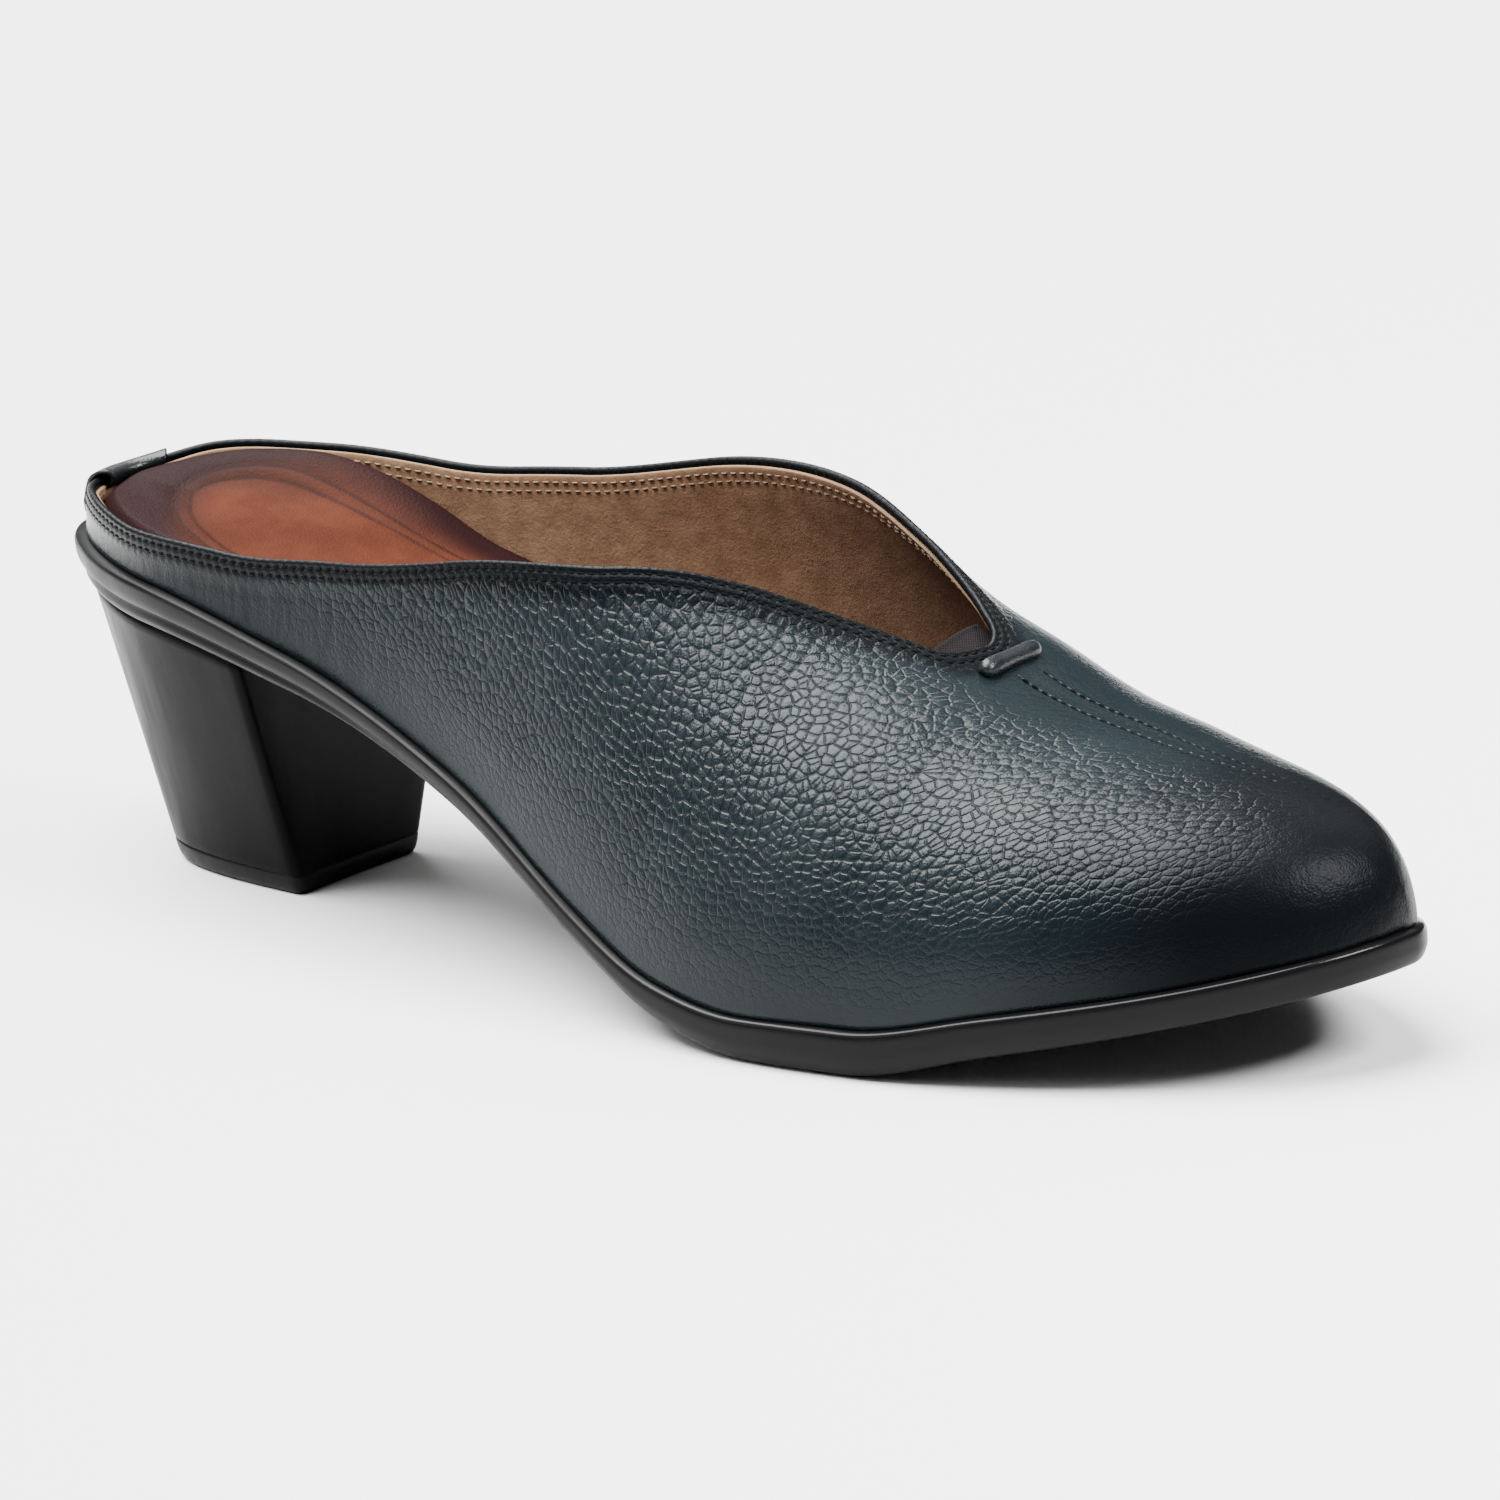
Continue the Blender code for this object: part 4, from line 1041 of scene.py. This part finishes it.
# %% Node helpers
class Finish:
    """One material and short names for the nodes that most finishes here need."""

    def __init__(self, name, color, roughness, **sockets):
        self.material = bpy.data.materials.new(name)
        self.material.use_nodes = True
        self.tree = self.material.node_tree
        self.shader = self.tree.nodes["Principled BSDF"]
        self.shader.inputs["Base Color"].default_value = (*color, 1)
        self.shader.inputs["Roughness"].default_value = roughness
        for socket, value in sockets.items():
            self.shader.inputs[socket.replace("_", " ")].default_value = value
        self.place = self.node("TexCoord").outputs["Object"]
        self.bumps = None

    def put(self, socket, value):
        """Link another node's output to a socket, or set the socket to a plain value."""
        if isinstance(value, bpy.types.NodeSocket):
            self.tree.links.new(value, socket)
        else:
            socket.default_value = value

    def node(self, kind, inputs=(), **settings):
        """New node; its inputs are sockets or values, in order or in a dict by name."""
        node = self.tree.nodes.new("ShaderNode" + kind)
        for name, value in settings.items():
            setattr(node, name, value)
        for name, value in inputs.items() if isinstance(inputs, dict) else enumerate(inputs):
            self.put(node.inputs[name], value)
        return node

    def drive(self, socket, value):
        """Feed a socket of the shader."""
        self.put(self.shader.inputs[socket], value)

    def mark(self, name):
        """Number stored on the mesh by grid_piece."""
        return self.node("Attribute", attribute_name=name).outputs["Fac"]

    def math(self, operation, *values):
        return self.node("Math", values, operation=operation).outputs[0]

    def times(self, first, second):
        return self.math("MULTIPLY", first, second)

    def off(self, value, middle):
        """How far a value lies from a middle, either way."""
        return self.math("ABSOLUTE", self.math("SUBTRACT", value, middle))

    def step(self, value, low, high, start=0.0, end=1.0):
        """Soft step from start to end while the value runs from low to high."""
        inputs = (value, low, high, start, end)
        return self.node("MapRange", inputs, interpolation_type="SMOOTHSTEP").outputs[0]

    def noise(self, scale, detail=3.0, rough=0.5, stretch=None, output="Fac"):
        place = self.place
        if stretch:
            place = self.node("Mapping", {"Vector": place, "Scale": stretch}).outputs[0]
        inputs = {"Vector": place, "Scale": scale, "Detail": detail, "Roughness": rough}
        return self.node("TexNoise", inputs).outputs[output]

    def fall(self, value, low, high):
        return self.step(value, low, high, 1.0, 0.0)

    def pushed(self, place, scale, reach):
        """A place pushed about a little, so that cells are not regular."""
        inputs = (self.noise(scale, 2.0, output="Color"), reach, place)
        return self.node("VectorMath", inputs, operation="MULTIPLY_ADD").outputs[0]

    def cells(self, scale, place, feature="DISTANCE_TO_EDGE", randomness=1.0, flat=False):
        inputs = {"Vector": place, "Scale": scale, "Randomness": randomness}
        settings = {"feature": feature, "voronoi_dimensions": "2D" if flat else "3D"}
        return self.node("TexVoronoi", inputs, **settings).outputs["Distance"]

    def blend(self, amount, first, second):
        node = self.node("Mix", data_type="RGBA")
        sockets = {socket.identifier: socket for socket in node.inputs}
        self.put(sockets["Factor_Float"], amount)
        for key, value in (("A_Color", first), ("B_Color", second)):
            self.put(sockets[key], value if isinstance(value, bpy.types.NodeSocket) else (*value, 1))
        return next(socket for socket in node.outputs if socket.identifier == "Result_Color")

    def mixed(self, amount, first, second):
        """Number between two others by an amount, as blend does for colours."""
        rest = self.math("SUBTRACT", 1.0, amount)
        return self.math("ADD", self.times(rest, first), self.times(amount, second))

    def bump(self, height, distance, strength=1.0):
        inputs = {"Height": height, "Distance": distance, "Strength": strength}
        if self.bumps:
            inputs["Normal"] = self.bumps
        self.bumps = self.node("Bump", inputs).outputs["Normal"]
        self.drive("Normal", self.bumps)

    def fine_grain(self, scale, push_scale, reach, distance, strength):
        """Cells finer than a millimetre, pressed into the surface."""
        cells = self.cells(scale, self.pushed(self.place, push_scale, (reach,) * 3))
        self.bump(self.step(cells, 0.0, 0.3), distance, strength)

    def twist(self):
        """Fine waves of a twisted thread."""
        self.bump(self.math("SINE", self.times(self.noise(2600, 1.0), 30.0)), 0.00004, 0.5)


def count_nodes(*finishes):
    print("nodes:", {finish.material.name: len(finish.tree.nodes) for finish in finishes})


# %% [markdown]
# Teal leather. Pebbles are cells with a crease between them; finer cells break them up, and the
# creases are painted darker as shade. The pebbles are strong on the side of the vamp and fade to
# smooth leather at the toe and beside the sole, while wax burnish turns the toe and the edges
# nearly black. Each bump here takes a height, how far full height reaches in metres, and a
# strength; each step takes a value and the two ends between which it rises from 0 to 1.

# %% Pebbled leather
TEAL = (0.0020, 0.0043, 0.0053)
TEAL_PALE = (0.0031, 0.0059, 0.0071)
TEAL_DARK = (0.0009, 0.0010, 0.0013)
HOLE_SHADE = (0.002, 0.003, 0.003)
WAX_TINT = (0.15, 0.15, 0.16)
leather = Finish("teal_pebbled_leather", TEAL, 0.28, Specular_IOR_Level=0.11)
grain_mark, burnish_mark, depth_mark = (leather.mark(name) for name in ("grain", "burnish", "edge_depth"))
on_chart = leather.node("CombineXYZ", (leather.mark("cell_x"), leather.mark("cell_y"))).outputs[0]
pebble_place = leather.pushed(on_chart, 210, (0.9, 0.9, 0))
pebble = leather.cells(1.0, pebble_place, randomness=0.95, flat=True)
middle_off = leather.cells(1.0, pebble_place, "F1", 0.95, flat=True)
dome = leather.math("MULTIPLY_ADD", leather.times(middle_off, middle_off), -1.5,
                    leather.step(pebble, 0.0, 0.17, 0.0, 0.6))
crease = leather.times(leather.fall(pebble, 0.015, 0.095), grain_mark)
patches = leather.noise(38, 4.0, 0.6)
tone = leather.blend(leather.step(patches, 0.35, 0.75), TEAL, TEAL_PALE)
tone = leather.blend(leather.times(burnish_mark, 0.86), tone, TEAL_DARK)
# Painted shade: the creases between the pebbles are darkened in the colour.
tone = leather.blend(leather.times(crease, 0.65), tone, TEAL_DARK)

# %% [markdown]
# Relief and shine of the leather. Bumps are chained from the coarse creases at the heel over
# the pebbles to the grain, the toe's wrinkles and the stitch holes. They cost no faces, so they
# suit relief that is too fine to show at the outline. Creases and the stitched band shine least.

# %% Relief and shine of the leather
leather.bump(leather.noise(220, 3.0, 0.55, stretch=(1.0, 1.0, 0.22)), 0.0010,
             leather.times(leather.mark("heel_creases"), 0.35))
leather.bump(dome, 0.00015, grain_mark)
leather.fine_grain(1450, 700, 0.0004, 0.00008, leather.mixed(grain_mark, 0.22, 0.30))
leather.bump(leather.noise(900, 3.0, 0.6), 0.00010, 0.30)
toe_mark = leather.step(leather.mark("along_mm"), 218, 240)
leather.bump(leather.noise(420, 4.0, 0.6), 0.00024, leather.times(toe_mark, 0.60))
stitch_mark = leather.mark("stitch_phase")
pucker = leather.times(leather.math("COSINE", leather.times(stitch_mark, 2 * math.pi)),
                       leather.fall(depth_mark, 3.2, 4.4))
leather.bump(leather.math("MULTIPLY_ADD", pucker, -0.5, 0.5), 0.00010, 0.5)


def stitch_ends(phase):
    """1 where a stitch ends and the next one starts."""
    return leather.step(leather.off(leather.math("FRACT", phase), 0.5), 0.30, 0.38)


near_rows = [leather.fall(leather.off(depth_mark, row), 0.15, 0.40) for row in STITCH_ROWS]
near_rows = leather.math("MAXIMUM", *near_rows)
off_seam = leather.off(leather.mark("seam_beside"), leather.mark("seam_half"))
seam_holes = leather.times(stitch_ends(leather.mark("seam_phase")), leather.fall(off_seam, 0.15, 0.40))
holes = leather.math("MAXIMUM", leather.times(stitch_ends(stitch_mark), near_rows),
                     leather.times(seam_holes, leather.mark("on_seam")))
leather.bump(leather.math("SUBTRACT", 1.0, holes), 0.00018, 1.0)
sheen = leather.mixed(burnish_mark, leather.step(patches, 0.3, 0.8, 0.25, 0.31), 0.25)
sheen = leather.mixed(toe_mark, sheen, 0.33)
sheen = leather.mixed(leather.fall(depth_mark, 2.9, 3.6), sheen, 0.42)
# Painted shade: the stitch holes are painted near black where the thread goes in.
leather.drive("Base Color", leather.blend(holes, tone, HOLE_SHADE))
leather.drive("Specular Tint", leather.blend(burnish_mark, (1.0, 1.0, 1.0), WAX_TINT))
leather.drive("Roughness", leather.math("ADD", sheen, leather.times(crease, 0.25)))
count_nodes(leather)

# %% [markdown]
# The inside. Suede is matt, with a nap of two sizes and a paler raw edge; towards the throat it
# is painted darker as shade deep under the vamp. The sock is glazed leather: red in the middle,
# worn brown at its margin, and painted darker at the heel end as shade.

# %% Lining suede, sock leather, elastic
SUEDE_SHADE = (0.030, 0.014, 0.009)
SUEDE_EDGE = (0.15, 0.105, 0.065)
suede = Finish("tan_suede", (0.05, 0.03, 0.015), 0.95, Specular_IOR_Level=0.1)
nap = suede.noise(260, 4.0, 0.65)
tan = suede.blend(suede.step(nap, 0.3, 0.75), (0.108, 0.058, 0.033), (0.155, 0.088, 0.052))
# Painted shade: the lining turns darker towards the throat, deep under the vamp.
tan = suede.blend(suede.times(suede.step(suede.mark("along_mm"), 105, 165), 0.62), tan, SUEDE_SHADE)
raw_edge = suede.fall(suede.mark("edge_depth"), 0.96, 1.3)
suede.drive("Base Color", suede.blend(suede.times(raw_edge, 0.6), tan, SUEDE_EDGE))
suede.bump(suede.noise(1900, 3.0, 0.7), 0.00022, 0.6)
suede.bump(nap, 0.0008, 0.25)

SOCK_RED = (0.034, 0.008, 0.0038)
SOCK_DARK = (0.0068, 0.0024, 0.0024)
SOCK_GROOVE = (0.007, 0.0027, 0.0021)
glazed = Finish("brown_sock_leather", SOCK_RED, 0.5, Specular_IOR_Level=0.02)
inset_mark, run_mark = glazed.mark("inset"), glazed.mark("along_mm")
drift = glazed.math("MULTIPLY_ADD", glazed.noise(60, 4.0, 0.6), 5.0, -2.5)
# Painted shade: at the heel end the dark margin reaches further in.
drift = glazed.math("ADD", drift, glazed.step(run_mark, 14, 42, -5.0, 0.0))
margin = glazed.fall(glazed.math("ADD", inset_mark, drift), -7.0, 5.0)
clouds = glazed.step(glazed.noise(75, 5.0, 0.62), 0.32, 0.72)
brown = glazed.blend(clouds, (0.026, 0.0066, 0.0030), (0.040, 0.0106, 0.0050))
lines = [glazed.fall(glazed.off(inset_mark, line), 0.1, 0.6) for line in SOCK_GROOVES]
pressed = glazed.times(glazed.math("MAXIMUM", *lines), glazed.fall(run_mark, 118, 142))
brown = glazed.blend(margin, brown, SOCK_DARK)
glazed.drive("Base Color", glazed.blend(glazed.times(pressed, 0.6), brown, SOCK_GROOVE))
glazed.fine_grain(1300, 600, 0.0005, 0.00008, 0.5)
glazed.bump(glazed.noise(330, 4.0, 0.6), 0.0004, 0.22)
glazed.drive("Roughness", glazed.mixed(margin, 0.60, 0.52))

elastic = Finish("grey_elastic_web", (0.008, 0.0065, 0.0068), 0.9, Specular_IOR_Level=0.05)
rib = elastic.math("SINE", elastic.times(elastic.mark("across_mm"), 9.0))
weave = elastic.math("SINE", elastic.times(elastic.mark("from_edge"), 14.0))
web = elastic.math("MULTIPLY_ADD", elastic.times(rib, weave), 0.5, 0.5)
elastic.drive("Base Color", elastic.blend(web, (0.0028, 0.0022, 0.0023), (0.0072, 0.0058, 0.0060)))
elastic.bump(web, 0.00018, 0.8)

count_nodes(suede, glazed, elastic)

# %% [markdown]
# The sole and the heel are black. The sole is a satin rubber with a soft shine on its lip. The
# heel is smoother, with faint vertical scuffs from the covering, and the top piece is matt.

# %% Sole, heel, trim and thread
rubber = Finish("black_moulded_rubber", (0.0016, 0.0016, 0.0018), 0.36, Specular_IOR_Level=0.08)
rubber.drive("Base Color", rubber.blend(rubber.step(rubber.noise(30, 4.0, 0.6), 0.3, 0.8),
                                        (0.0014, 0.0014, 0.0016), (0.0024, 0.0024, 0.0027)))
satin = rubber.step(rubber.noise(120, 4.0, 0.6), 0.3, 0.7, 0.34, 0.46)
rubber.drive("Roughness", rubber.mixed(rubber.mark("lip"), satin, 0.17))
rubber.bump(rubber.noise(1500, 3.0, 0.6), 0.00005, 0.4)

lacquer = Finish("black_heel_lacquer", (0.0018, 0.0018, 0.002), 0.34, Specular_IOR_Level=0.03)
scuff = lacquer.noise(200, 4.0, 0.6, stretch=(1.0, 1.0, 0.12))
lacquer.drive("Base Color", lacquer.blend(lacquer.step(scuff, 0.35, 0.8),
                                          (0.0016, 0.0016, 0.0018), (0.0028, 0.0028, 0.0030)))
lacquer.drive("Roughness", lacquer.step(scuff, 0.3, 0.75, 0.30, 0.44))
lacquer.bump(scuff, 0.00012, 0.35)

tread = Finish("black_top_piece_rubber", (0.0018, 0.0018, 0.0020), 0.45, Specular_IOR_Level=0.08)
tread.drive("Roughness", tread.step(tread.noise(400), 0.3, 0.7, 0.38, 0.46))
tread.bump(tread.noise(1700, 3.0, 0.6), 0.00004, 0.4)

trim = Finish("dark_teal_trim", (0.004, 0.006, 0.007), 0.30, Specular_IOR_Level=0.20)
trim.drive("Base Color", trim.blend(trim.step(trim.noise(300), 0.35, 0.7),
                                    (0.0022, 0.0029, 0.0033), (0.0046, 0.0062, 0.0072)))
trim.fine_grain(1500, 700, 0.0004, 0.00007, 0.4)
trim.bump(trim.noise(500, 3.0, 0.6), 0.0002, 0.35)

thread = Finish("black_thread", (0.0008, 0.0009, 0.0011), 0.55, Specular_IOR_Level=0.03)
thread.twist()
pale_thread = Finish("tan_thread", (0.105, 0.074, 0.045), 0.7, Specular_IOR_Level=0.2)
pale_thread.twist()
count_nodes(rubber, lacquer, tread, trim, thread, pale_thread)

# %% [markdown]
# Dressing. Now every piece gets its finish and its place in the scene. Each one rides on the
# part's one body, and most hide the solid they stand for.

# %% Dressing the pieces
def add_to_scene(obj):
    bpy.context.scene.collection.objects.link(obj)
    return obj


def show_piece(obj, finish, replaces=()):
    obj.data.materials.append(finish.material)
    add_to_scene(obj)
    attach(obj, "root")
    if replaces:
        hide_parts(*replaces)
    print(obj.name, "wears", finish.material.name)


show_piece(upper_leather, leather, ["upper"])
show_piece(upper_lining, suede)
show_piece(padded_sock, glazed, ["insole"])
show_piece(moulded_sole, rubber, ["outsole"])
show_piece(heel, lacquer, ["heel_block"])
show_piece(top_piece, tread, ["top_piece"])
show_piece(elastic_gusset, elastic, ["throat_gusset"])
show_piece(throat_loop, trim, ["throat_bar"])
show_piece(heel_tab, trim, ["back_tab"])
show_piece(collar_stitches, thread)
show_piece(seam_stitches, thread)
show_piece(lining_stitches, pale_thread)

# %% [markdown]
# The studio. The shoe in the photo stands on plain white with a soft shadow, so a large pale
# floor, a dim white world and a few big soft lights do it.

# %% Floor and world
REACH = 30.0
FLOOR_WHITE = (0.50, 0.50, 0.50)
SKY_POWER = 0.20
corners = [(-REACH, -REACH, 0), (REACH, -REACH, 0), (REACH, REACH, 0), (-REACH, REACH, 0)]
floor = add_to_scene(new_piece("floor", corners, [(0, 1, 2, 3)]))
floor.data.materials.append(Finish("white_floor", FLOOR_WHITE, 0.9, Specular_IOR_Level=0.0).material)

world = bpy.data.worlds.new("studio")
world.use_nodes = True
world.node_tree.nodes["Background"].inputs["Color"].default_value = (1, 1, 1, 1)
world.node_tree.nodes["Background"].inputs["Strength"].default_value = SKY_POWER
bpy.context.scene.world = world

# %% [markdown]
# Lights. Three very wide suns stand in for big cloths of light overhead, in front and behind,
# because a sun gives the same light everywhere. Two square boxes of light put the soft spot on
# the toe and the bright line on the sole's lip.

# %% Lights
def new_light(name, kind, power, beam, place=(0, 0, 0), **settings):
    data = bpy.data.lights.new(name, kind)
    data.energy = power
    for setting, value in settings.items():
        setattr(data, setting, value)
    obj = add_to_scene(bpy.data.objects.new(name, data))
    obj.location = place
    obj.rotation_euler = beam.to_track_quat("-Z", "Y").to_euler()


def heading_from(azimuth, elevation):
    """Unit vector towards a light; azimuth 0 is in front of the outer side, 90 ahead of the toe."""
    a, e = math.radians(azimuth), math.radians(elevation)
    return Vector((math.sin(a) * math.cos(e), -math.cos(a) * math.cos(e), math.sin(e)))


SKIES = (("top_sky", -60, 70, 54, 23.5), ("front_sky", -35, 40, 50, 2.0), ("back_sky", 175, 60, 60, 1.1))
for name, azimuth, elevation, spread, power in SKIES:
    new_light(name, "SUN", power, -heading_from(azimuth, elevation), angle=math.radians(spread))
BOXES = (("toe_box", 103, 45, 1.0, 0.10, 0.35, 30.0), ("lip_box", -120, 42, 1.2, 0.05, 0.5, 13.0))
for name, azimuth, elevation, away, aim, width, power in BOXES:
    place = away * heading_from(azimuth, elevation)
    beam = Vector((aim, 0.0, 0.03)) - place
    new_light(name, "AREA", power, beam, place, shape="RECTANGLE", size=width, size_y=width)
print("lights:", [light[0] for light in SKIES + BOXES])

# %% [markdown]
# The camera. It looks from between the outer side and the toe, a little above the shoe and
# rolled three degrees, two and a half metres away. The long lens keeps the shoe's sides nearly
# parallel, as in a catalogue picture. The place was found by matching the shoe's outline.

# %% Camera
CAMERA_PLACE = Vector((1.612524, -1.773572, 0.7640))
AZIMUTH = math.radians(42.15)
ELEVATION = math.radians(16.99)
ROLL = math.radians(-3.0)
LENS = 391.12
level_right = np.array((math.cos(AZIMUTH), math.sin(AZIMUTH), 0.0))
back = np.array((math.sin(AZIMUTH), -math.cos(AZIMUTH), 0.0)) * math.cos(ELEVATION)
back[2] = math.sin(ELEVATION)
level_up = np.cross(back, level_right)
right = level_right * math.cos(ROLL) + level_up * math.sin(ROLL)
up = level_up * math.cos(ROLL) - level_right * math.sin(ROLL)
camera_data = bpy.data.cameras.new("camera")
camera_data.lens = LENS
camera_data.sensor_width = 36.0
camera_data.clip_end = 100.0
camera = add_to_scene(bpy.data.objects.new("camera", camera_data))
rotation = np.stack((right, up, back), axis=1)
camera.matrix_world = Matrix([[*rotation[i], CAMERA_PLACE[i]] for i in range(3)] + [[0, 0, 0, 1]])
bpy.context.scene.camera = camera
print("camera stands", round(CAMERA_PLACE.length, 2), "m away")

# %% [markdown]
# The end. The view layer is brought up to date.

# %% The end
bpy.context.view_layer.update()
